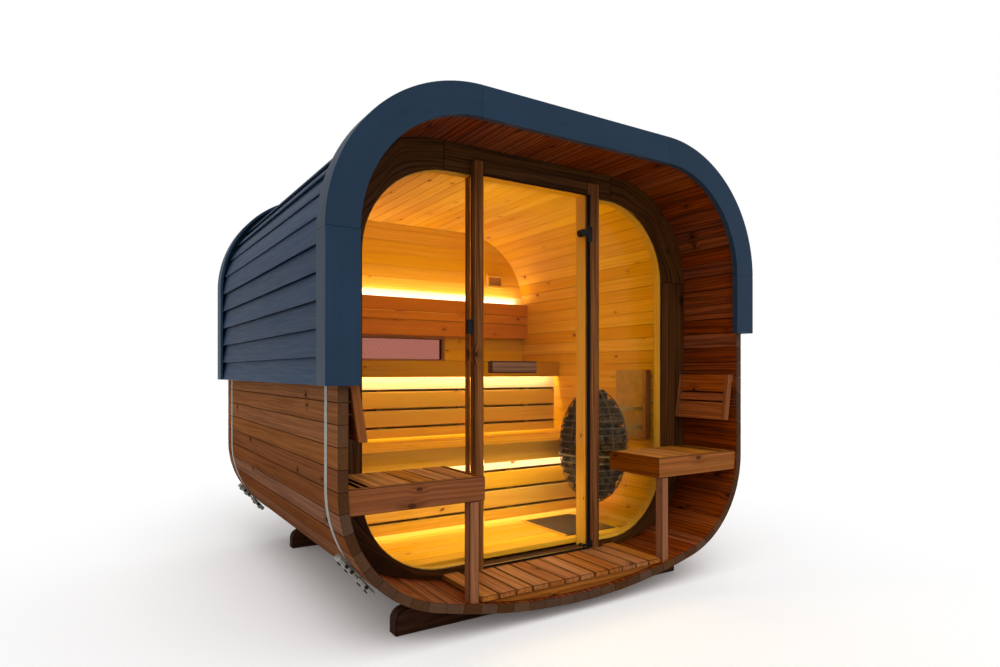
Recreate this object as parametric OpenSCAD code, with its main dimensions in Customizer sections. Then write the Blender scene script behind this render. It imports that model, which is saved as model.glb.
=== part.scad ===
// Outdoor barrel sauna with a rounded square section, a covered porch and a glazed front.
// Millimetres. X runs across the front, Y from the front rim to the back, Z up from the ground.

/* [Barrel] */
// Outer width of the stave barrel
barrel_w = 2284; // [2000:1:2600]
// Outer height of the barrel, from its lowest stave to its roof
barrel_h = 2190; // [2000:1:2500]
// Overall length, from the front fascia to the rear fascia
length = 2297; // [2100:1:3200]
// Stave thickness
stave_t = 40; // [28:1:55]
// Outer radius of the two upper corners
upper_r = 600; // [450:1:700]
// Outer radius of the two lower corners
lower_r = 530; // [430:1:700]
// How far the belly hangs below the lower corner arcs
belly = 80; // [60:1:140]

/* [Roof cladding and fascia] */
// Gap between the barrel and the outer face of the cladding
clad_out = 42.5; // [25:0.5:70]
// Width of the fascia's front plate
fascia_w = 133; // [90:1:180]
// Depth of the fascia's outer flange
fascia_d = 112; // [70:1:160]
// Thickness of the fascia's front plate
fascia_plate = 34.5; // [15:0.5:34.5]
// Thickness of the fascia's outer flange
flange_t = 15; // [8:1:25]
// Length of the left roof leg below its corner
left_leg_l = 578; // [100:1:700]
// Length of the right roof leg below its corner
right_leg_l = 313; // [100:1:700]

/* [Glazed front] */
// Distance from the front rim to the glazed frame's face
porch_d = 418; // [300:1:700]
// Depth of the frame ring
ring_d = 60; // [45:1:90]
// Width of the frame ring at the sides
ring_side = 192; // [120:1:260]
// Width of the frame ring at the top
ring_top = 140; // [120:1:220]
// Width of the frame ring at the belly
ring_low = 100; // [80:1:170]
// Upper corner radius of the glazed opening
pane_r_up = 420; // [350:1:500]
// Lower corner radius of the glazed opening
pane_r_low = 390; // [350:1:480]
// Thickness of every glass pane
glass_t = 8; // [6:1:12]

/* [Door] */
// Width of the door opening between its posts
door_w = 640; // [560:1:760]
// Face width of a door post
post_w = 50; // [45:1:80]
// Width of the post the door hangs on, seen from the front
hinge_post_w = 83; // [60:1:110]
// Depth of the door frame
door_frame_d = 95; // [70:1:120]
// Height of the door header
header_h = 64; // [45:1:80]
// Running gap round the door leaf
door_gap = 6; // [5:0.5:10]
// Length of the wooden handle bar
handle_l = 264; // [150:1:400]
// Height of the handle's centre above the porch deck
handle_up = 970; // [850:1:1100]
// Size of the catch on the other post, seen from the front
catch_w = 27; // [15:1:40]
catch_h = 70; // [40:1:100]

/* [Floors] */
// Height of the porch deck above the inside of the belly
deck_up = 76; // [70:1:110]
// Thickness of the deck boards
deck_t = 24; // [18:1:24]
// Half width of the porch deck
deck_half = 525; // [400:1:525]
// Step up from the porch deck to the cabin floor
floor_step = 42; // [10:1:60]
// Thickness of the cabin floor
floor_t = 26; // [18:1:30]

/* [Benches] */
// Height of the lower bench above the cabin floor
low_bench_up = 467; // [400:1:520]
// Height of the upper bench above the lower bench
up_bench_up = 510; // [400:1:520]
// Clear way between the stove and the lower bench
bench_gap = 43; // [20:1:120]
// Depth of the upper bench
up_bench_d = 514; // [420:1:620]
// Thickness of bench boards and fronts
board_t = 28; // [20:1:32]
// Height of the front boards of the benches
front_h = 108; // [80:1:130]
// Set back of the risers behind the bench fronts
riser_back = 70; // [50:1:120]
// Height of the backrest's lower edge above the upper bench
rest_up = 193; // [120:1:260]
// Height of the backrest
rest_h = 277; // [200:1:350]
// Thickness of the backrest's boards
rest_t = 25; // [18:1:32]
// Gap between the backrest and the back wall
rest_gap = 55; // [40:1:90]
// Width of the blocks that hold the backrest
rest_block = 40; // [25:1:60]

/* [Porch seats] */
// Height of the porch seats above the deck
seat_up = 506; // [420:1:540]
// Distance from the centre line to a seat's inner end
seat_in = 510; // [450:1:600]
// Thickness of the seat top
seat_t = 32; // [24:1:40]
// Height of the seat front, top included
apron_h = 100; // [70:1:140]
// Side of the square seat leg
leg_w = 46; // [38:1:60]
// Height of a porch backrest's lower edge above the seat
porch_rest_up = 173; // [120:1:250]
// Height of a porch backrest
porch_rest_h = 253; // [160:1:300]
// Thickness of a porch backrest, measured across
porch_rest_t = 20; // [15:1:28]
// Depth of a porch backrest's end cheeks
porch_cheek = 38; // [25:1:60]
// How far a porch backrest leans in at its lower edge
porch_rest_lean = 38; // [20:1:90]

/* [Stove] */
// Diameter of the wire basket
stove_d = 434; // [360:1:440]
// Height of the wire basket
stove_h = 698; // [600:1:760]
// Lowest point of the basket above the cabin floor
stove_up = 107; // [60:1:160]
// Clear way between the frame ring and the stove
stove_gap = 65; // [40:1:120]
// Distance from the stove's axis to the right wall
stove_wall = 422; // [300:1:450]
// Width and height of the heat shield
shield_w = 258; // [200:1:400]
shield_h = 445; // [380:1:600]
// Gap between the heat shield and the wall
shield_gap = 23; // [15:1:35]
// Width of the floor tray
tray_w = 350; // [250:1:380]

/* [Supports] */
// Height of the barrel's belly above the ground
belly_z = 50; // [40:1:120]
// Width of a cradle beam along the length
cradle_w = 70; // [50:1:100]
// Height of a cradle beam at its ends
cradle_h = 110; // [90:1:140]
// Half length of a cradle beam
cradle_half = 830; // [700:1:950]
// Width of a steel hoop
hoop_w = 32; // [20:1:50]
// Distance from a barrel end to its hoop
hoop_in = 127; // [112:1:250]
// Distance from the front and rear edges to the cradle beams
front_cradle_y = 240; // [200:1:500]
rear_cradle_y = 340; // [200:1:500]

/* [Window and vent] */
// Width and height of the back window
window_w = 750; // [500:1:900]
window_h = 175; // [140:1:185]
// Width and height of the vent cover
vent_w = 147; // [100:1:180]
vent_h = 105; // [80:1:150]
// Distance from the vent to the right wall
vent_wall = 197; // [150:1:300]
// Distance from the vent's upper edge to the roof's outer face
vent_drop = 350; // [250:1:420]

/* [Hidden] */
$fn = 96;

// Small clearances: pieces that seat on each other, and faces that only meet
fit = 0.5;
touch = 0.3;
big = 4000;

// Barrel section: half width, bottom, top, arc centres and the belly's radius
half_w = barrel_w / 2;
z_low = belly_z;
z_top = belly_z + barrel_h;
up_cx = half_w - upper_r;
up_cz = z_top - upper_r;
low_cx = half_w - lower_r;
low_cz = z_low + belly + lower_r;
belly_r = (low_cx * low_cx + pow(lower_r + belly, 2) - lower_r * lower_r) / (2 * belly);
belly_cz = z_low + belly_r;
wedge_k = 1.15 * belly_r / norm([low_cx, belly_cz - low_cz]);

// Barrel ends, cabin ends and the glazed wall
rim = fascia_plate + fit;
shell_y0 = rim;
shell_y1 = length - rim;
chime = 36;
back_t = 42;
back_y1 = shell_y1 - chime;
back_y0 = back_y1 - back_t;
ring_y1 = porch_d + ring_d;
door_y0 = ring_y1 - door_frame_d;
inside = -stave_t - fit;
wall_x = half_w - stave_t;
pane_half = wall_x - ring_side;
pane_z0 = belly_z + stave_t + ring_low;
pane_z1 = z_top - stave_t - ring_top;

// Floors, benches and seats
deck_z = belly_z + stave_t + deck_up;
floor_z = deck_z + floor_step;
low_bench_z = floor_z + low_bench_up;
up_bench_z = low_bench_z + up_bench_up;
up_bench_y = back_y0 - up_bench_d;
rest_z0 = up_bench_z + rest_up;
rest_z1 = rest_z0 + rest_h;
seat_z = deck_z + seat_up;
bearer_w = 40;
porch_y0 = shell_y0 + 10;

// Offsets of the roof layers from the barrel's outer face
hoop_t = 2.3;
clad_in = hoop_t + 0.7;
flange_in = clad_out + fit;
flange_out = flange_in + flange_t;

// Door
door_half = door_w / 2;
post_x0 = -door_half - post_w;
post_x1 = door_half + hinge_post_w;
door_z1 = pane_z1 + 2;
header_z1 = door_z1 + header_h;
sill_z1 = deck_z + 5;
leaf_half = door_half - door_gap + fit;
leaf_z0 = sill_z1 + door_gap;
leaf_z1 = door_z1 - door_gap;
leaf_y0 = door_y0 + 6;
handle_z = deck_z + handle_up;
bar_d = 38;
bar_h = 58;
bar_gap = 26;
hinge_x = door_half;
hinge_y = door_y0 - 11;
hinge_r = 7;
pin_r = 3;
pin_gap = 0.05;
hinge_in = 206;
foot_in = 16;
foot_k = 0.45;
hinges = [[leaf_z1 - hinge_in, 1], [leaf_z0 + foot_in, foot_k]];
knuckle_h = 29;
hinge_h = 80;
clamp_r = 20;
clamp_t = 7;
pane_back = 49;
side_glass_y0 = ring_y1 - pane_back - glass_t;

// Window and vent in the back wall
window_half = window_w / 2;
window_z0 = up_bench_z + 10;
window_z1 = window_z0 + window_h;
vent_x = wall_x - vent_wall - vent_w;
vent_z1 = z_top - vent_drop;
vent_t = 20;

// Stove, its place between the glass and the lower bench, and its shield
stove_x = wall_x - stove_wall;
stove_y = ring_y1 + stove_gap + stove_d / 2;
stove_z = floor_z + stove_up;
low_bench_y = stove_y + stove_d / 2 + bench_gap;
sheet_t = 2;
shield_x = wall_x - shield_gap - sheet_t;
shield_z1 = low_cz + 465;
shield_z0 = shield_z1 - shield_h;
wall_foot_z = max(low_cz, shield_z0);
shield_y = stove_y - 18;
tray_x1 = stove_x - 30;
tray_y0 = ring_y1 + 52;
tray_y1 = low_bench_y - riser_back;

// Light strips
led_w = 15;
led_h = 12;

// Seams of the frame ring
seam_x = 515;
seam_z = up_cz;
seam_low_z = pane_z0 + pane_r_low;

// Hoops
lock_l = 220;
lock_turn = 50;
lock_t = 22;
lock_over = 6;
hoop_ys = [shell_y0 + hoop_in, shell_y1 - hoop_in - hoop_w];

// ---------- section helpers ----------

// The barrel's outer section, grown by o
module outline(o) {
    r_up = upper_r + o;
    r_low = lower_r + o;
    for (s = [-1, 1]) {
        translate([s * up_cx, up_cz]) circle(r_up);
        translate([s * low_cx, low_cz]) circle(r_low);
    }
    translate([-half_w - o, low_cz]) square([2 * (half_w + o), up_cz - low_cz]);
    translate([-up_cx, low_cz]) square([2 * up_cx, z_top + o - low_cz]);
    intersection() {
        translate([0, belly_cz]) circle(belly_r + o, $fn = 720);
        belly_wedge();
    }
}

// The part of the section between the lower corners, which the belly arc closes
module belly_wedge() {
    dx = wedge_k * low_cx;
    z = belly_cz - wedge_k * (belly_cz - low_cz);
    polygon([[-low_cx, low_cz], [-dx, z], [dx, z], [low_cx, low_cz]]);
}

module band(outer, inner) {
    difference() {
        outline(outer);
        outline(inner);
    }
}

// The glazed opening, grown by o
module pane(o) {
    cx_up = pane_half - pane_r_up;
    cx_low = pane_half - pane_r_low;
    cz_up = pane_z1 - pane_r_up;
    cz_low = pane_z0 + pane_r_low;
    for (s = [-1, 1]) {
        translate([s * cx_up, cz_up]) circle(pane_r_up + o);
        translate([s * cx_low, cz_low]) circle(pane_r_low + o);
    }
    translate([-pane_half - o, cz_low]) square([2 * (pane_half + o), cz_up - cz_low]);
    translate([-cx_up, cz_low]) square([2 * cx_up, pane_z1 + o - cz_low]);
    translate([-cx_low, pane_z0 - o]) square([2 * cx_low, cz_low - pane_z0 + o]);
}

// A section drawn in X and Z, given a length from y0 to y1
module along_y(y0, y1) {
    translate([0, y1, 0]) rotate([90, 0, 0]) linear_extrude(y1 - y0) children();
}

// A box from corner a to corner b
module block(a, b) {
    translate(a) cube([b[0] - a[0], b[1] - a[1], b[2] - a[2]]);
}

// A rectangle from corner a to corner b
module area(a, b) {
    translate(a) square([b[0] - a[0], b[1] - a[1]]);
}

// Lengths run from the front fascia; this moves the origin to the middle of the footprint
module centred() {
    translate([0, -length / 2, 0]) children();
}

// Both mirror images of what is drawn on the right
module both_sides() {
    children();
    mirror([1, 0, 0]) children();
}

// The clear space inside the staves, as a cutter for what fits in it
module inner_space() {
    along_y(0, length) outline(inside);
}

// ---------- barrel ----------

module shell_part() {
    along_y(shell_y0, shell_y1) intersection() {
        band(0, -stave_t);
        children();
    }
}

module shell_bottom() {
    color("sienna") centred() shell_part() belly_wedge();
}

module shell_lower_corners() {
    color("sienna") centred() both_sides() shell_part() difference() {
        area([0, -big], [big, low_cz]);
        belly_wedge();
    }
}

module shell_sides() {
    color("sienna") centred() both_sides() shell_part() area([0, low_cz], [big, up_cz]);
}

module shell_upper_corners() {
    color("sienna") centred() both_sides() shell_part() area([up_cx, up_cz], [big, big]);
}

module shell_top() {
    color("sienna") centred() shell_part() area([-up_cx, up_cz], [up_cx, big]);
}

// ---------- roof ----------

module clad_part() {
    along_y(shell_y0, shell_y1) intersection() {
        band(clad_out, clad_in);
        children();
    }
}

// The straight stretch of one roof leg: side is -1 on the left and 1 on the right
module leg_area(side) {
    z0 = up_cz - (side < 0 ? left_leg_l : right_leg_l);
    area([side < 0 ? -big : 0, z0], [side < 0 ? 0 : big, up_cz - touch]);
}

module corner_area(side) {
    area([side < 0 ? -big : up_cx + touch, up_cz], [side < 0 ? -up_cx - touch : big, big]);
}

module top_area() {
    area([-up_cx, up_cz], [up_cx, big]);
}

module clad_sides() {
    color("darkslategray") centred() for (side = [-1, 1]) clad_part() leg_area(side);
}

module clad_corners() {
    color("darkslategray") centred() for (side = [-1, 1]) clad_part() corner_area(side);
}

module clad_top() {
    color("darkslategray") centred() clad_part() top_area();
}

// A fascia at the front rim: its plate and its flange, cut to one stretch
module fascia_part() {
    along_y(0, fascia_plate) intersection() {
        band(flange_out, flange_out - fascia_w);
        children();
    }
    along_y(0, fascia_d) intersection() {
        band(flange_out, flange_in);
        children();
    }
}

// The same fascia turned round for the back rim
module at_rear() {
    translate([0, length, 0]) mirror([0, 1, 0]) children();
}

// Its two legs, two corners and top length
module fascia_lengths() {
    for (side = [-1, 1]) {
        fascia_part() leg_area(side);
        fascia_part() corner_area(side);
    }
    fascia_part() top_area();
}

module front_fascia() {
    color("steelblue") centred() fascia_lengths();
}

module rear_fascia() {
    color("steelblue") centred() translate([0, length, 0]) mirror([0, 1, 0]) fascia_lengths();
}

// ---------- glazed front ----------

module frame_part() {
    along_y(porch_d, ring_y1) intersection() {
        difference() {
            outline(inside);
            pane(0);
            area([post_x0 - fit, -big], [post_x1 + fit, header_z1 + fit]);
        }
        children();
    }
}

// The ring round the panes in its nine lengths
module glazing_frame() {
    color("saddlebrown") centred() {
        frame_part() area([-seam_x, seam_z], [seam_x, big]);
        both_sides() {
            frame_part() area([seam_x + touch, seam_z + touch], [big, big]);
            frame_part() area([0, seam_low_z + touch], [big, seam_z]);
            frame_part() area([seam_x + touch, 0], [big, seam_low_z]);
        }
        frame_part() area([-seam_x, 0], [seam_x, seam_low_z]);
    }
}

module door_posts() {
    color("saddlebrown") centred() for (x = [post_x0, door_half]) intersection() {
        block([x, door_y0, 0], [x < 0 ? -door_half : post_x1, ring_y1, header_z1]);
        inner_space();
    }
}

module door_header() {
    color("saddlebrown") centred()
        block([touch - door_half, door_y0, door_z1], [door_half - touch, ring_y1, header_z1]);
}

module door_sill() {
    color("saddlebrown") centred() intersection() {
        block([touch - door_half, door_y0, 0], [door_half - touch, ring_y1, sill_z1]);
        inner_space();
    }
}

module side_glass() {
    color("lightcyan") centred() along_y(side_glass_y0, side_glass_y0 + glass_t) difference() {
        pane(-fit);
        area([post_x0 - fit, -big], [post_x1 + fit, big]);
    }
}

// ---------- door ----------

module door_glass() {
    color("lightcyan") centred() block([-leaf_half, leaf_y0, leaf_z0], [leaf_half, leaf_y0 + glass_t, leaf_z1]);
}

// A bar on two stand-offs
module door_handle() {
    bar_x0 = 4 - leaf_half;
    bar_y1 = leaf_y0 - bar_gap;
    post = 24;
    post_in = 20;
    color("saddlebrown") centred() {
        block([bar_x0, bar_y1 - bar_d, handle_z - bar_h / 2], [bar_x0 + handle_l, bar_y1, handle_z + bar_h / 2]);
        for (x = [bar_x0 + post_in, bar_x0 + handle_l - post_in - post])
            block([x, bar_y1 - bar_d / 2, handle_z - post / 2], [x + post, leaf_y0 - touch, handle_z + post / 2]);
    }
}

// Moving half of a hinge: its knuckle, arm and the two clamp discs on the glass; the one at the foot is smaller
module door_hinge_clamps() {
    clamp_x = hinge_x - 34;
    arm_t = 10;
    arm_h = 22;
    y_in = leaf_y0 + glass_t + touch;
    color("black") centred() for (h = hinges) {
        z = h[0];
        k = h[1];
        difference() {
            union() {
                translate([hinge_x, hinge_y, z - k * knuckle_h / 2]) cylinder(h = k * knuckle_h, r = hinge_r);
                block([clamp_x, hinge_y - arm_t / 2, z - k * arm_h / 2],
                    [hinge_x, hinge_y + arm_t / 2, z + k * arm_h / 2]);
                translate([clamp_x, leaf_y0 - touch, z]) rotate([90, 0, 0])
                    cylinder(h = leaf_y0 - touch - hinge_y + arm_t / 2, r = k * clamp_r);
            }
            translate([hinge_x, hinge_y, z - knuckle_h]) cylinder(h = 2 * knuckle_h, r = pin_r + pin_gap);
        }
        translate([clamp_x, y_in + clamp_t, z]) rotate([90, 0, 0]) cylinder(h = clamp_t, r = k * clamp_r);
    }
}

// Fixed half of a hinge: its plate on the post, two knuckles and the pin
module door_hinge_plates() {
    plate_w = 32;
    plate_t = 5.2;
    room = 20;
    color("black") centred() for (h = hinges) {
        z = h[0];
        gap = h[1] * knuckle_h / 2 + fit;
        ends = h[1] * hinge_h / 2;
        difference() {
            union() {
                block([hinge_x, door_y0 - touch - plate_t, z - ends],
                    [hinge_x + plate_w, door_y0 - touch, z + ends]);
                translate([hinge_x, hinge_y, z - ends]) cylinder(h = 2 * ends, r = hinge_r);
            }
            difference() {
                block([hinge_x - room, hinge_y - room, z - gap], [hinge_x + hinge_r + 2, door_y0, z + gap]);
                translate([hinge_x, hinge_y, z - ends]) cylinder(h = 2 * ends, r = pin_r);
            }
        }
    }
}

// Catch on the other post, level with the upper half of the door
module door_catch() {
    x1 = post_x0 - touch;
    z0 = handle_z + 157;
    catch_back = 12;
    color("black") centred()
        block([x1 - catch_w, door_y0 + catch_back, z0], [x1, side_glass_y0 - fit, z0 + catch_h]);
}

// ---------- back wall ----------

module back_part() {
    along_y(back_y0, back_y1) intersection() {
        outline(inside);
        children();
    }
}

module back_wall_low() {
    color("burlywood") centred() back_part() area([-big, 0], [big, window_z0]);
}

module back_wall_middle() {
    color("burlywood") centred() both_sides() back_part() area([window_half, window_z0], [big, window_z1]);
}

module back_wall_high() {
    color("burlywood") centred() back_part() area([-big, window_z1], [big, big]);
}

module back_window() {
    y0 = (back_y0 + back_y1 - glass_t) / 2;
    color("lightcyan") centred() block([fit - window_half, y0, window_z0 + fit],
        [window_half - fit, y0 + glass_t, window_z1 - fit]);
}

module vent() {
    color("burlywood") centred()
        block([vent_x, back_y0 - vent_t, vent_z1 - vent_h], [vent_x + vent_w, back_y0 - touch, vent_z1]);
}

// ---------- floors ----------

module cabin_floor() {
    color("burlywood") centred() intersection() {
        block([-big, ring_y1 + fit, floor_z - floor_t], [big, back_y0 - fit, floor_z]);
        inner_space();
    }
}

module porch_deck() {
    color("peru") centred() intersection() {
        difference() {
            block([-deck_half, porch_y0, deck_z - deck_t], [deck_half, porch_d - fit, deck_z]);
            block([post_x0 - fit, door_y0 - fit, 0], [post_x1 + fit, length, header_z1]);
        }
        inner_space();
    }
}

module deck_bearers() {
    bearer_in = 15;
    half = deck_half - bearer_in;
    color("sienna") centred() for (y = [porch_y0 + bearer_in, door_y0 - 2 * bearer_in - bearer_w]) intersection() {
        block([-half, y, 0], [half, y + bearer_w, deck_z - deck_t - touch]);
        inner_space();
    }
}

// ---------- cabin fittings ----------

module bench_slab(y0, y1, top) {
    intersection() {
        block([-big, y0, top - board_t], [big, y1, top]);
        inner_space();
    }
}

module bench_front(y0, top) {
    intersection() {
        block([-big, y0, top - front_h], [big, y0 + board_t, top]);
        inner_space();
    }
}

module bench_riser(y0, bottom, top) {
    intersection() {
        block([-big, y0, bottom], [big, y0 + board_t, top]);
        inner_space();
    }
}

module upper_bench() {
    color("burlywood") centred() bench_slab(up_bench_y + board_t + touch, back_y0 - fit, up_bench_z);
}

module lower_bench() {
    color("burlywood") centred()
        bench_slab(low_bench_y + board_t + touch, up_bench_y + riser_back - touch, low_bench_z);
}

module bench_fronts() {
    color("burlywood") centred() {
        bench_front(up_bench_y, up_bench_z);
        bench_front(low_bench_y, low_bench_z);
    }
}

module bench_risers() {
    color("burlywood") centred() {
        bench_riser(up_bench_y + riser_back, low_bench_z - 2 * board_t, up_bench_z - board_t - touch);
        bench_riser(low_bench_y + riser_back, floor_z + touch, low_bench_z - board_t - touch);
    }
}

// A board on three blocks
module cabin_backrest() {
    y1 = back_y0 - rest_gap;
    block_x = vent_x - rest_block - 18;
    color("burlywood") centred() {
        intersection() {
            block([-big, y1 - rest_t, rest_z0], [big, y1, rest_z1]);
            inner_space();
        }
        for (x = [-block_x, 0, block_x])
            block([x - rest_block / 2, y1 - 1, rest_z0 + led_h],
                [x + rest_block / 2, back_y0 - touch, rest_z1 - led_h - 3]);
    }
}

// A strip behind each bench front and one on the blocks behind the backrest
module led_strips() {
    drop = board_t + touch;
    rest_y0 = back_y0 - rest_gap + 1;
    color("white") centred() intersection() {
        union() {
            for (at = [[up_bench_y, up_bench_z], [low_bench_y, low_bench_z]])
                block([-wall_x, at[0] + board_t + led_h, at[1] - drop - led_h],
                    [wall_x, at[0] + board_t + led_h + led_w, at[1] - drop]);
            block([80 - wall_x, rest_y0, rest_z1 - led_h - 3 + touch], [wall_x - 80, rest_y0 + led_w, rest_z1 - 3]);
        }
        inner_space();
    }
}

// A point of the basket's outline: half an ellipse, at angle a above its equator
function egg(a) = [max(0, stove_d / 2 * cos(a)), stove_h / 2 * (1 + sin(a))];

// The basket with its stones
module stove() {
    steps = 24;
    profile = [for (i = [0 : steps]) egg(180 * i / steps - 90)];
    color("dimgray") centred() translate([stove_x, stove_y, stove_z]) rotate_extrude() polygon(profile);
}

// Wall plate with two arms that hold the basket above its equator
module stove_bracket() {
    plate_x = shield_x - touch;
    plate_t = 4;
    arm = 24;
    equator = stove_z + stove_h / 2;
    color("black") centred() {
        block([plate_x - plate_t, shield_y, equator + 40], [plate_x, stove_y + 60, equator + 264]);
        for (rise = [80, 200]) {
            reach = stove_d / 2 * sqrt(1 - pow(2 * rise / stove_h, 2));
            block([stove_x + reach + touch, stove_y - 15, equator + rise],
                [plate_x - 1, stove_y + 15, equator + rise + arm]);
        }
    }
}

// Sheet on two spacers behind the stove
module heat_shield() {
    spacer = 20;
    edge = 22;
    color("silver") centred() {
        block([shield_x, shield_y, shield_z0], [shield_x + sheet_t, shield_y + shield_w, shield_z1]);
        for (y = [shield_y + edge, shield_y + shield_w - edge - spacer])
            block([shield_x + 1, y, wall_foot_z], [wall_x - touch, y + spacer, shield_z1 - edge]);
    }
}

// Upright strip at the near edge of the shield
module wall_batten() {
    batten_t = 38;
    batten_w = 35;
    y1 = shield_y - 7;
    color("saddlebrown") centred() 
        block([wall_x - batten_t, y1 - batten_w, wall_foot_z], [wall_x - touch, y1, shield_z1]);
}

module floor_tray() {
    color("dimgray") centred()
        block([tray_x1 - tray_w, tray_y0, floor_z + touch], [tray_x1, tray_y1, floor_z + 4]);
}

// ---------- porch fittings ----------

module porch_seats() {
    y1 = porch_d - fit;
    z0 = seat_z - apron_h;
    color("sienna") centred() both_sides() intersection() {
        union() {
            block([seat_in, porch_y0, seat_z - seat_t], [big, y1, seat_z]);
            block([seat_in, porch_y0, z0], [big, porch_y0 + board_t, seat_z]);
            block([seat_in, porch_y0, z0], [seat_in + board_t, y1, seat_z]);
        }
        inner_space();
    }
}

module seat_legs() {
    x0 = deck_half + 12;
    y0 = porch_y0 + 4;
    color("sienna") centred() both_sides() intersection() {
        block([x0, y0, 0], [x0 + leg_w, y0 + leg_w, seat_z - apron_h - touch]);
        inner_space();
    }
}

// Leaning boards between two cheeks that are fixed to the side walls by their upper ends
module porch_backrests() {
    z0 = seat_z + porch_rest_up;
    z1 = z0 + porch_rest_h;
    top_x = wall_x - 6 - porch_cheek;
    low_x = top_x - porch_rest_lean;
    cheek_t = 22;
    y0 = porch_y0 + 10;
    ring_room = 4;
    y1 = porch_d - ring_room;
    foot = 45;
    color("sienna") centred() both_sides() {
        along_y(y0, y1)
            polygon([[top_x, z1], [top_x + porch_rest_t, z1], [low_x + porch_rest_t, z0], [low_x, z0]]);
        for (y = [y0, y1 - cheek_t])
            along_y(y, y + cheek_t) polygon([[top_x, z1], [wall_x - fit, z1], [wall_x - fit, z1 - foot],
                [low_x + porch_cheek, z0], [low_x, z0]]);
    }
}

// ---------- hoops and supports ----------

module hoops() {
    color("silver") centred() for (y = hoop_ys) along_y(y, y + hoop_w) band(hoop_t, touch);
}

// Tightening blocks at the lower left corner of each hoop
module hoop_locks() {
    reach = lower_r + hoop_t + touch;
    color("silver") centred() for (y = hoop_ys)
        translate([-low_cx - reach * sin(lock_turn), 0, low_cz - reach * cos(lock_turn)])
            rotate([0, lock_turn, 0])
            block([-lock_l / 2, y - lock_over, -lock_t], [lock_l / 2, y + hoop_w + lock_over, -touch]);
}

// Beams with rounded ends, cut to the belly
module cradles() {
    end_r = cradle_h / 2;
    color("sienna") centred() for (y = [front_cradle_y, length - rear_cradle_y - cradle_w])
        along_y(y, y + cradle_w) difference() {
            union() {
                area([end_r - cradle_half, 0], [cradle_half - end_r, cradle_h]);
                area([-cradle_half, 0], [cradle_half, end_r]);
                for (s = [-1, 1]) translate([s * (cradle_half - end_r), end_r]) circle(end_r);
            }
            outline(touch);
        }
}

shell_bottom();
shell_lower_corners();
shell_sides();
shell_upper_corners();
shell_top();
clad_sides();
clad_corners();
clad_top();
front_fascia();
rear_fascia();
glazing_frame();
door_posts();
door_header();
door_sill();
side_glass();
door_glass();
door_handle();
door_hinge_clamps();
door_hinge_plates();
door_catch();
back_wall_low();
back_wall_middle();
back_wall_high();
back_window();
vent();
cabin_floor();
porch_deck();
deck_bearers();
upper_bench();
lower_bench();
bench_fronts();
bench_risers();
cabin_backrest();
led_strips();
stove();
stove_bracket();
heat_shield();
wall_batten();
floor_tray();
porch_seats();
seat_legs();
porch_backrests();
hoops();
hoop_locks();
cradles();
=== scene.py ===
# %% [markdown]
# # An outdoor sauna of staves
# The sauna is a rounded square barrel: long timber staves laid side by side, held by two steel hoops, with a glazed
# wall set back behind a small porch. A blue lapped roof hangs over its shoulders, and a warm cabin shows through the
# glass. The carpentry comes from a packed, measured model. This lesson gives every part its real boards, metal and
# finish. Nothing in the measured frame is moved: where it lacks detail, a finer piece stands in the same place.

# %% Load the measured frame
import math
import random
from itertools import product

import bmesh
import bpy
from mathutils import Euler, Matrix, Vector


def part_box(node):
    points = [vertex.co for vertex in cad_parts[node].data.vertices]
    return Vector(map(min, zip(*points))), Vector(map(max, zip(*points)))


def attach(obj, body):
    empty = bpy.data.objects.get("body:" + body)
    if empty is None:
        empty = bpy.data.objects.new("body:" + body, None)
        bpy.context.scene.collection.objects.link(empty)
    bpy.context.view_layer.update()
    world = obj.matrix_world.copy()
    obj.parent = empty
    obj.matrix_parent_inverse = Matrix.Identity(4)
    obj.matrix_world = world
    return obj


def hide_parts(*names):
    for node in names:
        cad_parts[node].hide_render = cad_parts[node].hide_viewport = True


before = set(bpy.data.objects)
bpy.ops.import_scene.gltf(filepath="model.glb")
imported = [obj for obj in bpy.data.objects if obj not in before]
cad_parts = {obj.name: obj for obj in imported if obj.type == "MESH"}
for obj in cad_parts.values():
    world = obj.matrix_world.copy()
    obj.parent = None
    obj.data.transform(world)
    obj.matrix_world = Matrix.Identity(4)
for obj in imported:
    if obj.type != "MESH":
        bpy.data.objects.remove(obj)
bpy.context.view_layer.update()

# %% [markdown]
# ## Where to stand
# The sauna is seen from its left front corner, at about the height of a person's chest. A lens of 24 mm on a full
# frame makes the porch loom and the back shrink. The camera stays level and its frame is shifted, which is how a
# building is usually taken: the upright lines stay upright.

# %% Set the camera
eye, upright, heading = (-1.912, -3.4845, 1.115), 90, -33.527
lens_body = bpy.data.cameras.new("porch_view")
lens_body.sensor_width, lens_body.lens = 36, 23.574
lens_body.shift_x, lens_body.shift_y = -0.02, 0.0379
camera = bpy.data.objects.new("porch_view", lens_body)
camera.location = eye
camera.rotation_euler = (math.radians(upright), 0, math.radians(heading))
bpy.context.scene.collection.objects.link(camera)
bpy.context.scene.camera = camera
bpy.context.scene.view_settings.view_transform = "Standard"
print("camera at", eye)

# %% [markdown]
# ## A helper for materials
# A material in Blender is a small wiring diagram. Writing each node by hand takes three lines, so one helper adds a
# node, sets its dials and wires its inputs. An input is either a plain value or another node's output.

# %% Wire up a node
def wire(tree, kind, inputs=None, **dials):
    node = tree.nodes.new("ShaderNode" + kind)
    for dial, value in dials.items():
        setattr(node, dial, value)
    for place, value in (inputs or {}).items():
        if isinstance(value, bpy.types.NodeSocket):
            tree.links.new(value, node.inputs[place])
        else:
            node.inputs[place].default_value = value
    return node


def reckon(tree, sum_kind, first, second=0.0, third=0.0):
    return wire(tree, "Math", {0: first, 1: second, 2: third}, operation=sum_kind).outputs[0]


def sway(tree, value, force, level):
    """A level moved up or down by how far a value is from a half."""
    return reckon(tree, "MULTIPLY_ADD", reckon(tree, "SUBTRACT", value, 0.5), force, level)


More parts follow.
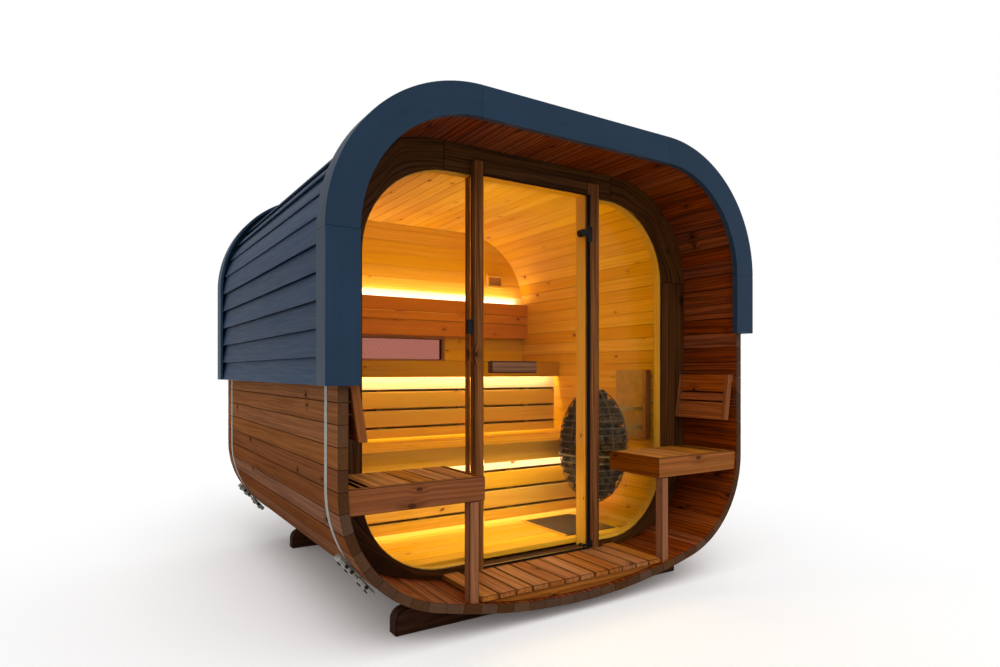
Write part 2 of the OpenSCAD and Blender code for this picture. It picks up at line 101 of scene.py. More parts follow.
def scale_place(tree, place, factors):
    return wire(tree, "VectorMath", {0: place, 1: factors}, operation="MULTIPLY").outputs[0]


def noise(tree, place, scale, **dials):
    dials = {dial.capitalize(): value for dial, value in dials.items()}
    return wire(tree, "TexNoise", {"Vector": place, "Scale": scale, **dials}).outputs[0]


def blend_colours(tree, amount, first, second):
    return wire(tree, "Mix", {0: amount, 6: first, 7: second}, data_type="RGBA").outputs[2]


def fade(tree, value, start, end, low=0.0, high=1.0):
    """Slides from low to high as a value goes from start to end, with soft ends."""
    ramp = wire(tree, "MapRange", {0: value, 1: start, 2: end, 3: low, 4: high}, interpolation_type="SMOOTHSTEP")
    return ramp.outputs[0]


def read_note(tree, name, kind="Fac"):
    """A note that a mesh carries: its grain, its board's number or its joint mark."""
    return wire(tree, "Attribute", attribute_name=name).outputs[kind]


def read_notes(tree):
    """All three notes, under the names that an effect for boards takes."""
    grain, board, joint = read_note(tree, "grain", "Vector"), read_note(tree, "board"), read_note(tree, "joint")
    return {"Place": grain, "Board": board, "Joint": joint}


def colour(code):
    """A colour written as a web code, such as 8a5030, in the linear numbers that Blender wants."""
    parts = [int(code[i : i + 2], 16) / 255 for i in (0, 2, 4)]
    return tuple(v / 12.92 if v <= 0.04045 else ((v + 0.055) / 1.055) ** 2.4 for v in parts) + (1.0,)


def new_material(name):
    finish = bpy.data.materials.new(name)
    finish.use_nodes = True
    tree = finish.node_tree
    tree.nodes.clear()
    shader = tree.nodes.new("ShaderNodeBsdfPrincipled")
    out = tree.nodes.new("ShaderNodeOutputMaterial")
    tree.links.new(shader.outputs[0], out.inputs[0])
    return finish, tree, shader


surface_gives = (("Colour", "Color"), ("Dullness", "Float"), ("Relief", "Float"))


def new_effect(name, takes, gives=surface_gives):
    """A node group with named inputs and outputs. takes: (name, kind, start value if any); gives: (name, kind)."""
    effect = bpy.data.node_groups.new(name, "ShaderNodeTree")
    for title, kind, *start in takes:
        socket = effect.interface.new_socket(title, in_out="INPUT", socket_type="NodeSocket" + kind)
        if start:
            socket.default_value = start[0]
    for title, kind in gives:
        effect.interface.new_socket(title, in_out="OUTPUT", socket_type="NodeSocket" + kind)
    return effect, effect.nodes.new("NodeGroupInput").outputs, effect.nodes.new("NodeGroupOutput").inputs


def use_effect(tree, effect, **values):
    node = tree.nodes.new("ShaderNodeGroup")
    node.node_tree = effect
    for title, value in values.items():
        if isinstance(value, bpy.types.NodeSocket):
            tree.links.new(value, node.inputs[title])
        else:
            node.inputs[title].default_value = value
    return node.outputs


def wear_effect(tree, shader, effect, dull, relief, depth=0.002, span=(0.0, 1.0)):
    """Feeds an effect's colour, dullness and relief to a shader. dull is the roughness at each end of span."""
    tree.links.new(effect["Colour"], shader.inputs["Base Color"])
    rough = wire(tree, "MapRange", {0: effect["Dullness"], 1: span[0], 2: span[1], 3: dull[0], 4: dull[1]})
    tree.links.new(rough.outputs[0], shader.inputs["Roughness"])
    bump = wire(tree, "Bump", {"Strength": relief, "Distance": depth, "Height": effect["Relief"]})
    tree.links.new(bump.outputs[0], shader.inputs["Normal"])


print("material helpers ready")

# %% [markdown]
# ## A studio that shows the colours as they are
# The light is broad and soft, like an overcast sky: two very wide suns and an even sky, the same all over the floor. A
# white background must not come from more light, because that would bleach the wood. Instead, the world shows white
# only where it is seen directly or through glass, and the light that falls on the timber stays plain. Light that has
# already bounced off a surface gets the plain level too, or the panes would pour white light into the cabin. The floor
# is nearly white to the eye and a little greyer to the light that bounces off it, and it keeps the soft shadow.

# %% Hang the sky and the suns
world = bpy.data.worlds.new("studio")
bpy.context.scene.world = world
world.use_nodes = True
air = world.node_tree
air.nodes.clear()
rays = wire(air, "LightPath")
shown_white = reckon(air, "MAXIMUM", rays.outputs["Is Camera Ray"], rays.outputs["Is Transmission Ray"])
not_lighting = reckon(air, "LESS_THAN", rays.outputs["Diffuse Depth"], 0.5)
shown_white = reckon(air, "MULTIPLY", shown_white, not_lighting)
plain_level = 0.6
glow_level = wire(air, "MapRange", {0: shown_white, 1: 0.0, 2: 1.0, 3: plain_level, 4: 1.0}).outputs[0]
sky = wire(air, "Background", {"Color": (1, 1, 1, 1), "Strength": glow_level})
air.links.new(sky.outputs[0], wire(air, "OutputWorld").inputs[0])


def hang_lamp(name, kind, strength, place=(0, 0, 0), aim=None, tint=(1, 1, 1), **dials):
    """A lamp of any kind. Unless it shines all round, it looks along the direction aim."""
    glow = bpy.data.lights.new(name, kind)
    for dial, value in dict(dials, energy=strength, color=tint).items():
        setattr(glow, dial, value)
    lamp = bpy.data.objects.new(name, glow)
    lamp.location = place
    if aim is not None:
        lamp.rotation_euler = Vector(aim).to_track_quat("-Z", "Y").to_euler()
    bpy.context.scene.collection.objects.link(lamp)
    return lamp


hang_lamp("front_light", "SUN", 0.85, aim=(0.35, 1.0, -0.9), angle=math.radians(45))
hang_lamp("high_light", "SUN", 0.9, aim=(0.1, 0.45, -1.0), angle=math.radians(50))
print("sky level", plain_level, "and two suns")

# %% Lay the studio floor
half_floor = 40.0
floor_mesh = bpy.data.meshes.new("studio_floor")
corners = [(x * half_floor, y * half_floor, 0) for x, y in ((-1, -1), (1, -1), (1, 1), (-1, 1))]
floor_mesh.from_pydata(corners, [], [(0, 1, 2, 3)])
studio_floor = bpy.data.objects.new("studio_floor", floor_mesh)
bpy.context.scene.collection.objects.link(studio_floor)
pale, tree, shader = new_material("pale_floor")
tree.nodes.remove(shader)
rays = wire(tree, "LightPath")
lift = reckon(tree, "MULTIPLY", rays.outputs["Is Camera Ray"], 0.06)
seen, bounced = (0.95, 0.95, 0.95, 1), (0.7, 0.7, 0.7, 1)
chalk = wire(tree, "BsdfDiffuse", {"Color": blend_colours(tree, rays.outputs["Is Diffuse Ray"], seen, bounced)})
shine = wire(tree, "Emission", {"Color": (1, 1, 1, 1), "Strength": lift})
both = wire(tree, "AddShader", {0: chalk.outputs[0], 1: shine.outputs[0]})
tree.links.new(both.outputs[0], tree.nodes["Material Output"].inputs[0])
floor_mesh.materials.append(pale)
print("floor laid", half_floor * 2, "m wide")

# %% [markdown]
# ## The grain of a plank
# Every timber on this sauna is the same kind of softwood: long streaks, fine fibres, a few knots, each board a little
# different from its neighbour. A picture of wood would repeat; a procedure does not. Each piece carries its own grain
# coordinates: x runs along the board, y across it, z through it, in metres. So one effect works on a straight bench, a
# curved stave and a mitred frame. Knots come from a cell pattern whose nearest point is measured in real metres, which
# keeps them round although the streaks are stretched forty times.

# %% Find the knots
plank_effect, given, out = new_effect("plank_grain", [
    ("Place", "Vector"), ("Board", "Float", 0.5), ("Joint", "Float", 0.0), ("Pale", "Color"), ("Deep", "Color"),
    ("Knot", "Color"), ("Streaks", "Float", 0.6), ("Variety", "Float", 0.25), ("Knots", "Float", 0.4),
    ("Gap", "Float", 0.7)])
g = plank_effect
place = given["Place"]
nearest = scale_place(g, place, (2.3, 10.0, 0.0))
cells = wire(g, "TexVoronoi", {"Vector": nearest, "Scale": 1.0, "Randomness": 0.9}, voronoi_dimensions="2D")
gone = wire(g, "VectorMath", {0: nearest, 1: cells.outputs["Position"]}, operation="SUBTRACT").outputs[0]
gone = scale_place(g, gone, (0.3, 0.1, 0.0))
from_knot = wire(g, "VectorMath", {0: gone}, operation="LENGTH").outputs["Value"]
kept = wire(g, "SeparateColor", {0: cells.outputs["Color"]})
has_knot = reckon(g, "LESS_THAN", kept.outputs[0], given["Knots"])
smallest, spread = 0.0045, 0.0075
knot_size = reckon(g, "MULTIPLY_ADD", kept.outputs[1], spread, smallest)
knot_rim = reckon(g, "DIVIDE", from_knot, knot_size)
knot = reckon(g, "MULTIPLY", fade(g, knot_rim, 1.15, 0.75), has_knot)
swirl = reckon(g, "MULTIPLY", fade(g, knot_rim, 4.5, 1.0), has_knot)
print("knots of", smallest * 1000, "to", (smallest + spread) * 1000, "mm radius")

# %% Draw the streaks round the knots
long_way = scale_place(g, place, (1.1, 7.0, 7.0))
wander = noise(g, long_way, 1.0, detail=2.0)
parts = wire(g, "SeparateXYZ", {0: place})
bent = reckon(g, "MULTIPLY_ADD", wander, 0.05, parts.outputs[1])
bent = reckon(g, "MULTIPLY", reckon(g, "MULTIPLY_ADD", swirl, 0.012, bent), 95.0)
along = reckon(g, "MULTIPLY", parts.outputs[0], 1.4)
rings_at = wire(g, "CombineXYZ", {0: along, 1: bent, 2: reckon(g, "MULTIPLY", parts.outputs[2], 60.0)}).outputs[0]
rings = noise(g, rings_at, 1.0, detail=3.0, roughness=0.6)
fibre = noise(g, scale_place(g, place, (9.0, 420.0, 420.0)), 1.0, detail=2.0)
cloud = noise(g, long_way, 2.2, detail=3.0)
streak = fade(g, rings, 0.34, 0.66)
tone = reckon(g, "MULTIPLY_ADD", streak, given["Streaks"], reckon(g, "MULTIPLY", cloud, 0.35))
tone = sway(g, fibre, 0.45, tone)
tone = reckon(g, "MULTIPLY_ADD", swirl, 0.25, tone)
print("streaks drawn")

# %% Tint each board and finish the effect
base = blend_colours(g, tone, given["Pale"], given["Deep"])
of_board = sway(g, given["Board"], given["Variety"], 1.0)
other = reckon(g, "FRACT", reckon(g, "MULTIPLY", given["Board"], 7.3))
faded = reckon(g, "MULTIPLY_ADD", other, reckon(g, "MULTIPLY", given["Variety"], -0.5), 1.03)
hue = reckon(g, "MULTIPLY_ADD", given["Board"], 0.006, 0.497)
base = wire(g, "HueSaturation", {"Hue": hue, "Saturation": faded, "Value": of_board, "Color": base}).outputs[0]
base = blend_colours(g, reckon(g, "MULTIPLY", knot, 0.85), base, given["Knot"])
shut = reckon(g, "SUBTRACT", 1.0, reckon(g, "MULTIPLY", given["Joint"], given["Gap"]))
base = wire(g, "HueSaturation", {"Value": shut, "Color": base}).outputs[0]
g.links.new(base, out["Colour"])
g.links.new(fade(g, tone, 0.0, 1.0), out["Dullness"])
high = reckon(g, "MULTIPLY_ADD", fibre, 0.35, reckon(g, "MULTIPLY", streak, -0.5))
g.links.new(reckon(g, "MULTIPLY_ADD", knot, 0.4, high), out["Relief"])
print("plank effect has", len(g.nodes), "nodes")

# %% [markdown]
# ## Stain, oil and bare spruce
# The same grain takes every wood finish on the sauna. Outside, a matt brown oil with strong board-to-board change.
# Under the porch roof the same oil is painted darker and redder, as the shade there, and has kept its shine. The glazed
# wall's frame is a darker stain in two copies: darker still on the ring, head and sill as their painted shade, paler on
# the posts as the painted light from the front. Seats, deck and backs each have an oil of their own, a little
# different.
# The cabin is bare spruce, which the warm lamps turn to honey. Copies of it carry painted light and shade: the boards
# right behind the lamp strips are paler, a painted highlight of their glare, and the bench fronts, the backrest, the
# lower boards of the risers and the lining round the side panes are a deeper spruce, painted shade. A finish is two
# colours, the knots' colour, how strongly the grain shows, and a roughness range.

# %% Mix the wood finishes
def wood_finish(name, pale, deep, knot, streaks, variety, knots, dull, relief=0.3, gap=0.75, shine=0.06):
    finish, tree, shader = new_material(name)
    plank = use_effect(tree, plank_effect, Pale=colour(pale), Deep=colour(deep), Knot=colour(knot), Streaks=streaks,
                       Variety=variety, Knots=knots, Gap=gap, **read_notes(tree))
    wear_effect(tree, shader, plank, dull, relief)
    shader.inputs["Specular IOR Level"].default_value = shine
    return finish


def spruce_finish(name, pale, deep, knot="5e2e0c", variety=0.14, knots=0.45, gap=0.3):
    return wood_finish(name, pale, deep, knot, 0.5, variety, knots, (0.5, 0.7), 0.15, gap)


outside_oil = wood_finish("outside_oil", "945c36", "643b22", "2a1408", 0.5, 0.34, 0.3, (0.5, 0.75), gap=0.5, shine=0.0)
# The outside oil painted darker and redder for the staves under the porch roof: painted shade, with a little shine.
porch_shade_oil = wood_finish("porch_shade_oil", "8f3d06", "4a1d03", "210e04", 0.8, 0.2, 0.3, (0.38, 0.6), gap=0.55)
# The frame stain in two copies: darker for the ring, head and sill as painted shade, paler for the posts as painted
# light.
shaded_frame_stain = wood_finish("shaded_frame_stain", "5a3412", "281304", "160a04", 0.7, 0.2, 0.12, (0.4, 0.6), 0.25)
lit_jamb_stain = wood_finish("lit_jamb_stain", "90561f", "47240a", "1f0f06", 0.7, 0.2, 0.12, (0.4, 0.6), 0.25)
sawn_end = wood_finish("sawn_end", "55351c", "331c0a", "1a0e06", 0.25, 0.5, 0.0, (0.6, 0.8), 0.2, 0.45)
seat_oil = wood_finish("seat_oil", "c57c2c", "784212", "2c1507", 0.62, 0.24, 0.3, (0.42, 0.62))
deck_oil = wood_finish("deck_oil", "a9662c", "693510", "2c1507", 0.6, 0.2, 0.3, (0.42, 0.62))
back_oil = wood_finish("back_oil", "a4551e", "5e2b0b", "2c1507", 0.6, 0.15, 0.4, (0.42, 0.62))
# Painted shade: a darker copy of the seat oil for the seats' shaded faces.
shade_oil = wood_finish("shade_oil", "8a420c", "4a2004", "210e04", 0.6, 0.2, 0.4, (0.42, 0.62))
apron_oil = wood_finish("apron_oil", "93572e", "613417", "3a1d0c", 0.5, 0.3, 0.6, (0.42, 0.6))
handle_oil = wood_finish("handle_oil", "83583c", "4f3222", "2c180e", 0.6, 0.1, 0.0, (0.38, 0.52), 0.2)
trim_wood = wood_finish("trim_wood", "b07a44", "8a5626", "5a3216", 0.5, 0.15, 0.1, (0.45, 0.6), 0.15)
cradle_stain = wood_finish("cradle_stain", "4c2a12", "281306", "150a04", 0.7, 0.3, 0.2, (0.55, 0.8), 0.35)
bare_spruce = spruce_finish("bare_spruce", "e0aa2c", "c88a18", "6e3a10", gap=0.14)
# Three darker copies of the bare spruce, painted shade: for the lower riser boards and the lining round the side panes,
# for the backrest, and for the bench fronts; the last two face away from the lamp strips.
shaded_riser_spruce = spruce_finish("shaded_riser_spruce", "c6982c", "ae7a1a")
shaded_rest_spruce = spruce_finish("shaded_rest_spruce", "d1811c", "b66512")
shaded_front_spruce = spruce_finish("shaded_front_spruce", "c0882a", "a56d1a", variety=0.12)
# A paler copy, painted highlight: the glare of the lamp strips on the boards right beside them.
lit_spruce = spruce_finish("lit_spruce", "f2d896", "e2bf70", "6e3a10", 0.1, 0.3)
print("wood finishes:", [m.name for m in bpy.data.materials if m.name.endswith(("oil", "stain", "spruce"))])

# %% [markdown]
# ## A joiner's helpers
# All timber starts as one of two shapes: a straight board with eased (slightly bevelled) edges, or rings of points
# that are joined into a skin, for whatever is bent, swept or turned. Both are written into a bmesh, Blender's editable
# mesh, together with three notes for the finish: the grain coordinates, a number for the board, and a mark on the
# narrow faces at each edge, which a real finish leaves darker. A modifier could bevel the boards, but writing the
# eased faces directly lets them be marked.

# %% Boards with eased edges
dice = random.Random(4)
both_ways = (-1, 1)


def start_work(mesh=None):
    """An empty work, or a copy of a mesh, with room for the three notes."""
    work = bmesh.new()
    if mesh:
        work.from_mesh(mesh)
    work.verts.layers.float_vector.new("grain")
    work.verts.layers.float.new("board")
    work.faces.layers.float.new("joint")
    return work


def deal_grain():
    """Chance says where in the tree a board was cut, along and in depth, and gives the board its number."""
    return dice.uniform(0, 60), dice.uniform(0, 9), dice.random()


def note(work, vert, grain, tone):
    vert[work.verts.layers.float_vector["grain"]] = grain
    vert[work.verts.layers.float["board"]] = tone
    return vert


def placed(turn, spot):
    """A point moved by a matrix, by a rule of its own, or not at all."""
    if turn is None:
        return Vector(spot)
    return turn @ Vector(spot) if isinstance(turn, Matrix) else turn(Vector(spot))


def lay_board(work, low, high, run, ease=0.002, finish=0, turn=None, tone=None):
    """A straight board between two corners, its grain along axis run (0, 1 or 2)."""
    low, high = Vector(low), Vector(high)
    mid, half = (low + high) / 2, (high - low) / 2
    ease = min(ease, 0.4 * min(half))
    across, deep = [i for i in range(3) if i != run]
    if half[across] < half[deep]:
        across, deep = deep, across
    shift, layer = dice.uniform(0, 60), dice.uniform(0, 9)
    tone = dice.random() if tone is None else tone
    corner = {}
    for sign in product(both_ways, repeat=3):
        for flat in range(3):
            spot = [mid[i] + sign[i] * (half[i] - (0 if i == flat else ease)) for i in range(3)]
            grain = (spot[run] + shift, spot[across] + 0.37 * shift, spot[deep] + layer)
            corner[sign, flat] = note(work, work.verts.new(placed(turn, spot)), grain, tone)
    made = []
    for flat in range(3):
        a, b = [i for i in range(3) if i != flat]
        for s in both_ways:
            loop = []
            for sa, sb in ((-1, -1), (1, -1), (1, 1), (-1, 1)):
                sign = [s, s, s]
                sign[a], sign[b] = sa, sb
                loop.append(corner[tuple(sign), flat])
            made.append((loop, 0.0))
    for edge in range(3):
        a, b = [i for i in range(3) if i != edge]
        for sa, sb in product(both_ways, repeat=2):
            one, two = [-1, -1, -1], [1, 1, 1]
            one[a] = two[a] = sa
            one[b] = two[b] = sb
            one, two = tuple(one), tuple(two)
            made.append(([corner[one, a], corner[two, a], corner[two, b], corner[one, b]], 1.0))
    made += [([corner[sign, i] for i in range(3)], 1.0) for sign in product(both_ways, repeat=3)]
    joint = work.faces.layers.float["joint"]
    for loop, mark in made:
        face = work.faces.new(loop)
        face[joint], face.material_index = mark, finish


def join_rings(work, rings, look=None, end=0, closed=False):
    """Joins rings of points into a skin. look(row, i) gives a face its joint mark and finish; end finishes the ends."""
    joint = work.faces.layers.float["joint"]
    rows = list(zip(rings, rings[1:])) + ([(rings[-1], rings[0])] if closed else [])
    for row, (one, two) in enumerate(rows):
        for i in range(len(one)):
            j = (i + 1) % len(one)
            face = work.faces.new((one[i], one[j], two[j], two[i]))
            face[joint], face.material_index = look(row, i) if look else (0.0, end)
    if not closed:
        for ring in (rings[0], rings[-1]):
            work.faces.new(ring).material_index = end


def finish_work(work, name, finishes, nodes=(), body="root", crisp=32):
    """Turns the work into an object that rides on a body and stands for its measured nodes."""
    bmesh.ops.recalc_face_normals(work, faces=work.faces)
    mesh = bpy.data.meshes.new(name)
    work.to_mesh(mesh)
    work.free()
    for finish in finishes:
        mesh.materials.append(finish)
    mesh.shade_smooth()
    mesh.set_sharp_from_angle(angle=math.radians(crisp))
    piece = bpy.data.objects.new(name, mesh)
    bpy.context.scene.collection.objects.link(piece)
    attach(piece, body)
    if nodes:
        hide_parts(*nodes)
    print(name, len(mesh.polygons), "faces")


# %% [markdown]
# ## The shape of the barrel
# The barrel's outline is five kinds of curve that meet without a corner: a flat top, two round shoulders, two straight
# sides, two round lower corners and a slack belly. Staves are measured along that line, as a cooper steps them off, so
# a function turns "s metres round from the middle of the belly" into a point and the direction that faces out.

# %% Step along the outline
(_, shell_front, side_low), (barrel_half, shell_back, side_high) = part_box("shell_sides")
belly_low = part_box("shell_bottom")[0].z
roof_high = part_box("shell_top")[1].z
shoulder_r, lower_r = roof_high - side_high, 0.53
stave_t = roof_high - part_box("shell_top")[0].z
shoulder_x, lower_x = barrel_half - shoulder_r, barrel_half - lower_r
drop = side_low - belly_low
belly_r = (lower_r**2 - drop**2 - lower_x**2) / (2 * (lower_r - drop))
belly_mid = belly_low + belly_r
belly_turn = math.atan2(lower_x, belly_mid - side_low)
# An arc has its centre, radius and first angle; a line has its start, its direction and the direction that faces out.
stretches = [
    ("arc", belly_r * belly_turn, (0.0, belly_mid), belly_r, -math.pi / 2),
    ("arc", lower_r * (math.pi / 2 - belly_turn), (lower_x, side_low), lower_r, belly_turn - math.pi / 2),
    ("line", side_high - side_low, (barrel_half, side_low), (0, 1), (1, 0)),
    ("arc", shoulder_r * math.pi / 2, (shoulder_x, side_high), shoulder_r, 0.0),
    ("line", shoulder_x, (shoulder_x, roof_high), (-1, 0), (0, 1)),
]
half_round = sum(stretch[1] for stretch in stretches)
all_round = 2 * half_round
corner_start = stretches[0][1]
side_start = corner_start + stretches[1][1]
shoulder_start = side_start + stretches[2][1]
top_start = half_round - stretches[4][1]


def round_barrel(s, out):
    """The point s metres round the outside from the belly's middle, moved out by out: x, z."""
    s = s % all_round
    flip = 1 if s <= half_round else -1
    s = s if flip == 1 else all_round - s
    for kind, long, start, a, b in stretches:
        if s <= long + 1e-9 or start is stretches[-1][2]:
            break
        s -= long
    if kind == "arc":
        angle = b + s / a
        x, z = start[0] + (a + out) * math.cos(angle), start[1] + (a + out) * math.sin(angle)
    else:
        x, z = start[0] + a[0] * s + b[0] * out, start[1] + a[1] * s + b[1] * out
    return flip * x, z


def is_bent(s0, s1):
    s = ((s0 + s1) / 2) % all_round
    s = min(s, all_round - s)
    return s < side_start or shoulder_start < s < top_start


print("outline is", round(all_round, 3), "m round, belly radius", round(belly_r, 3))

# %% [markdown]
# ## The staves
# Each stave is a board about 83 mm wide that runs from the front rim to the back rim. Where the barrel bends, its
# faces are planed to the curve. Every edge has a small bevel, so two neighbours meet in a dark V, on the face and at
# the sawn ends of the rim. The lining of the cabin is the inside of the same staves, left bare; under the porch they
# carry the outside oil painted darker and redder, as the porch roof's shade. So one stave carries four finishes,
# changed at the two walls and at its sawn ends, and no surface is drawn twice.

# %% Lay the staves
porch_end, back_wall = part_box("glazing_frame")[1].y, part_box("back_wall_low")[0].y
stave_about = 0.083
stave_count = round(all_round / stave_about)
stave_w = all_round / stave_count
bent_steps, rim_ease = 5, 0.0016


def lay_lengthwise(work, rows, look, end=0, deep=1):
    """A board along the barrel, from rows that each have a y and a section of (s, out) points."""
    shift, layer, tone = deal_grain()
    rings = []
    for y, section in rows:
        ring = []
        for s, out in section:
            x, z = round_barrel(s, out)
            ring.append(note(work, work.verts.new((x, y, z)), (y + shift, s + 0.37 * shift, out * deep + layer), tone))
        rings.append(ring)
    join_rings(work, rings, look, end)


def lay_stave(work, s0, s1):
    crack, ease = 0.0002, 0.0028
    steps = bent_steps if is_bent(s0, s1) or is_bent(s0 - 0.01, s0) or is_bent(s1, s1 + 0.01) else 2

    def section(tuck):
        face = [s0 + crack + ease + (s1 - s0 - 2 * crack - 2 * ease) * i / (steps - 1) for i in range(steps)]
        line = [(s0 + crack + tuck, -ease)] + [(s, -tuck) for s in face] + [(s1 - crack - tuck, -ease)]
        return line + [(s, -stave_t - out) for s, out in reversed(line)]

    def look(row, i):
        if row in (0, 4):
            return 1.0, 3
        inner = steps + 2 <= i < 2 * steps + 3
        return float(not 0 < i % (steps + 2) < steps), (0, 1, 2, 0)[row] if inner else 0

    ends, full = section(rim_ease), section(0)
    rows = [(shell_front, ends), (shell_front + rim_ease, full), (porch_end, full), (back_wall, full),
            (shell_back - rim_ease, full), (shell_back, ends)]
    lay_lengthwise(work, rows, look, 3, 3)


work = start_work()
for n in range(stave_count):
    lay_stave(work, (n - 0.5) * stave_w, (n + 0.5) * stave_w)
finish_work(work, "barrel_staves", [outside_oil, porch_shade_oil, bare_spruce, sawn_end],
            ["shell_bottom", "shell_lower_corners", "shell_sides", "shell_upper_corners", "shell_top"])
print(stave_count, "staves of", round(stave_w * 1000, 1), "mm")

# %% [markdown]
# ## Slate-blue roof boards
# The roof is lapped boards, painted a matt slate blue. Each board is thicker at its lower edge, which stands proud of
# the board below and throws a dark line of shadow. Lapping is best modelled as real wedges: a bump map gives the line
# but not the stepped edge that shows against the sky. The effect for the paint adds a faint brushed grain, blotches,
# fine pale specks and a worn, lighter lower edge.

# %% Mix the paint
paint_effect, given, out = new_effect("board_paint", [
    ("Place", "Vector"), ("Board", "Float", 0.5), ("Joint", "Float", 0.0), ("Paint", "Color"), ("Worn", "Color"),
    ("Variety", "Float", 0.2), ("Wear", "Float", 0.5)])
g = paint_effect
brush = noise(g, scale_place(g, given["Place"], (3.0, 120.0, 120.0)), 1.0, detail=4.0, roughness=0.6)
blotch = noise(g, given["Place"], 3.0, detail=4.0)
speck = noise(g, given["Place"], 160.0, detail=2.0)
tone = sway(g, given["Board"], given["Variety"], 1.0)
tone = sway(g, blotch, 0.3, sway(g, brush, 0.35, tone))
wear = reckon(g, "MULTIPLY", given["Joint"], given["Wear"])
wear = reckon(g, "MULTIPLY", wear, fade(g, blotch, 0.35, 0.65, 0.3, 1.0))
wear = reckon(g, "MULTIPLY_ADD", fade(g, speck, 0.66, 0.8), 0.12, wear)
base = wire(g, "HueSaturation", {"Value": tone, "Color": given["Paint"]}).outputs[0]
g.links.new(blend_colours(g, wear, base, given["Worn"]), out["Colour"])
g.links.new(fade(g, brush, 0.2, 0.8), out["Dullness"])
g.links.new(reckon(g, "MULTIPLY_ADD", speck, 0.3, brush), out["Relief"])


def paint_finish(name, paint, worn, variety, wear, dull, relief, shine):
    finish, tree, shader = new_material(name)
    coat = use_effect(tree, paint_effect, Paint=colour(paint), Worn=colour(worn), Variety=variety, Wear=wear,
                      **read_notes(tree))
    wear_effect(tree, shader, coat, dull, relief)
    shader.inputs["Specular IOR Level"].default_value = shine
    shader.inputs["Specular Tint"].default_value = (0.6, 0.82, 1.0, 1)
    return finish


slate_paint = paint_finish("slate_paint", "20344d", "4e627a", 0.22, 0.5, (0.42, 0.6), 0.2, 0.14)
fascia_paint = paint_finish("fascia_paint", "203245", "3f586e", 0.05, 0.4, (0.36, 0.5), 0.12, 0.16)
print("paints mixed")

# %% Lap the roof boards
clad_front, clad_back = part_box("clad_top")[0].y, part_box("clad_top")[1].y
left_foot, right_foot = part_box("clad_sides")[0].z, 1.327
from_right = side_start + right_foot - side_low
from_left = all_round - (side_start + left_foot - side_low)
clad_low_d, clad_high_d, clad_under = 0.0425, 0.024, 0.0035
lap_w, thinned_over = 0.109, 0.25


def lay_lap(work, edge, top):
    """One roof board, from its proud lower edge to its thin upper one, both measured round the barrel."""
    steps = bent_steps if is_bent(min(edge, top), max(edge, top)) else 2
    from_shoulder = half_round - abs((edge + top) / 2 - half_round) - shoulder_start
    thin = 0.018 * min(1.0, max(0.0, from_shoulder / thinned_over))
    proud, way = clad_low_d - thin, 1 if top > edge else -1
    wide, rise = top - edge, clad_high_d - clad_low_d
    line = [(edge + way * 0.010, clad_under), (edge + way * 0.010, 0.026 - thin), (edge, proud - 0.005),
            (edge + way * 0.003, proud)]
    line += [(edge + wide * i / steps, proud + rise * i / steps) for i in range(1, steps + 1)]
    line += [(edge + wide * i / steps, clad_under) for i in range(steps, 0, -1)]
    lay_lengthwise(work, [(clad_front, line), (clad_back, line)], lambda row, i: (float(i == 2), 0))


work = start_work()
for start, way in ((from_right, 1), (from_left, -1)):
    reach = abs(half_round - start)
    laps = round(reach / lap_w)
    for n in range(laps):
        lay_lap(work, start + way * reach * n / laps, start + way * reach * (n + 1) / laps)
finish_work(work, "roof_boards", [slate_paint], ["clad_sides", "clad_corners", "clad_top"], crisp=25)

# %% [markdown]
# ## The blue rim
# A painted board rims the roof at each end, and a narrow band turns back over the roof boards. It is cut in lengths
# that meet at straight joints. A curve with a bevel profile could make it, but a strip swept from points along the
# outline keeps exact control of both ends and of the joints, and writes the grain along the bend.

# %% Sweep a strip round the barrel
def sweep_strip(work, s0, s1, profile, step=0.02, eased=0.0015):
    """Sweeps a closed profile of (y, out) points along the outline from s0 to s1, with its two ends closed."""
    shift, tone = dice.uniform(0, 60), dice.random()
    corners = []
    for i, spot in enumerate(profile):
        spot = Vector(spot)
        for other in (profile[i - 1], profile[(i + 1) % len(profile)]):
            corners.append(spot + (Vector(other) - spot).normalized() * eased)
    middle = sum(corners, Vector((0, 0))) / len(corners)
    stops = max(1, round(abs(s1 - s0) / step))
    inner = [(s0 + eased + (s1 - s0 - 2 * eased) * i / stops, 0) for i in range(stops + 1)]
    rings = []
    for s, tuck in [(s0, eased)] + inner + [(s1, eased)]:
        ring = []
        for y, out in corners:
            if tuck:
                y += math.copysign(min(tuck, abs(middle.x - y)), middle.x - y)
                out += math.copysign(min(tuck, abs(middle.y - out)), middle.y - out)
            x, z = round_barrel(s, out)
            ring.append(note(work, work.verts.new((x, y, z)), (s + shift, y + out, 0.3 * out), tone))
        rings.append(ring)
    join_rings(work, rings, lambda row, i: (float(i % 2 == 0 or row in (0, len(rings) - 2)), 0))


def rim_of(node, name, face_out):
    low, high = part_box(node)
    plate, band_low, band_high, reach = 0.0345, 0.043, 0.058, -0.075
    front, inward = (low.y, 1) if face_out < 0 else (high.y, -1)
    under, back = front + inward * plate, front + inward * (high.y - low.y)
    profile = [(front, reach), (under, reach), (under, band_low),
               (back, band_low), (back, band_high), (front, band_high)]
    work = start_work()
    cuts = [from_right, shoulder_start, top_start, all_round - top_start, all_round - shoulder_start, from_left]
    for a, b in zip(cuts, cuts[1:]):
        sweep_strip(work, a + 0.0004, b - 0.0004, profile)
    finish_work(work, name, [fascia_paint], [node], crisp=25)


rim_of("front_fascia", "front_rim", -1)
rim_of("rear_fascia", "rear_rim", 1)

# %% [markdown]
# ## Measured parts with softened edges
# Frame timbers, plates and glass already have the right shape in the measured model, but their edges are razor sharp,
# and no real edge is: it always catches a thin line of light. So a copy of the node is welded, its needless triangles
# are dissolved, and every sharp edge gets a small round. The copy then stands for the node. Its grain follows one
# axis, or runs round the barrel for the curved timbers.

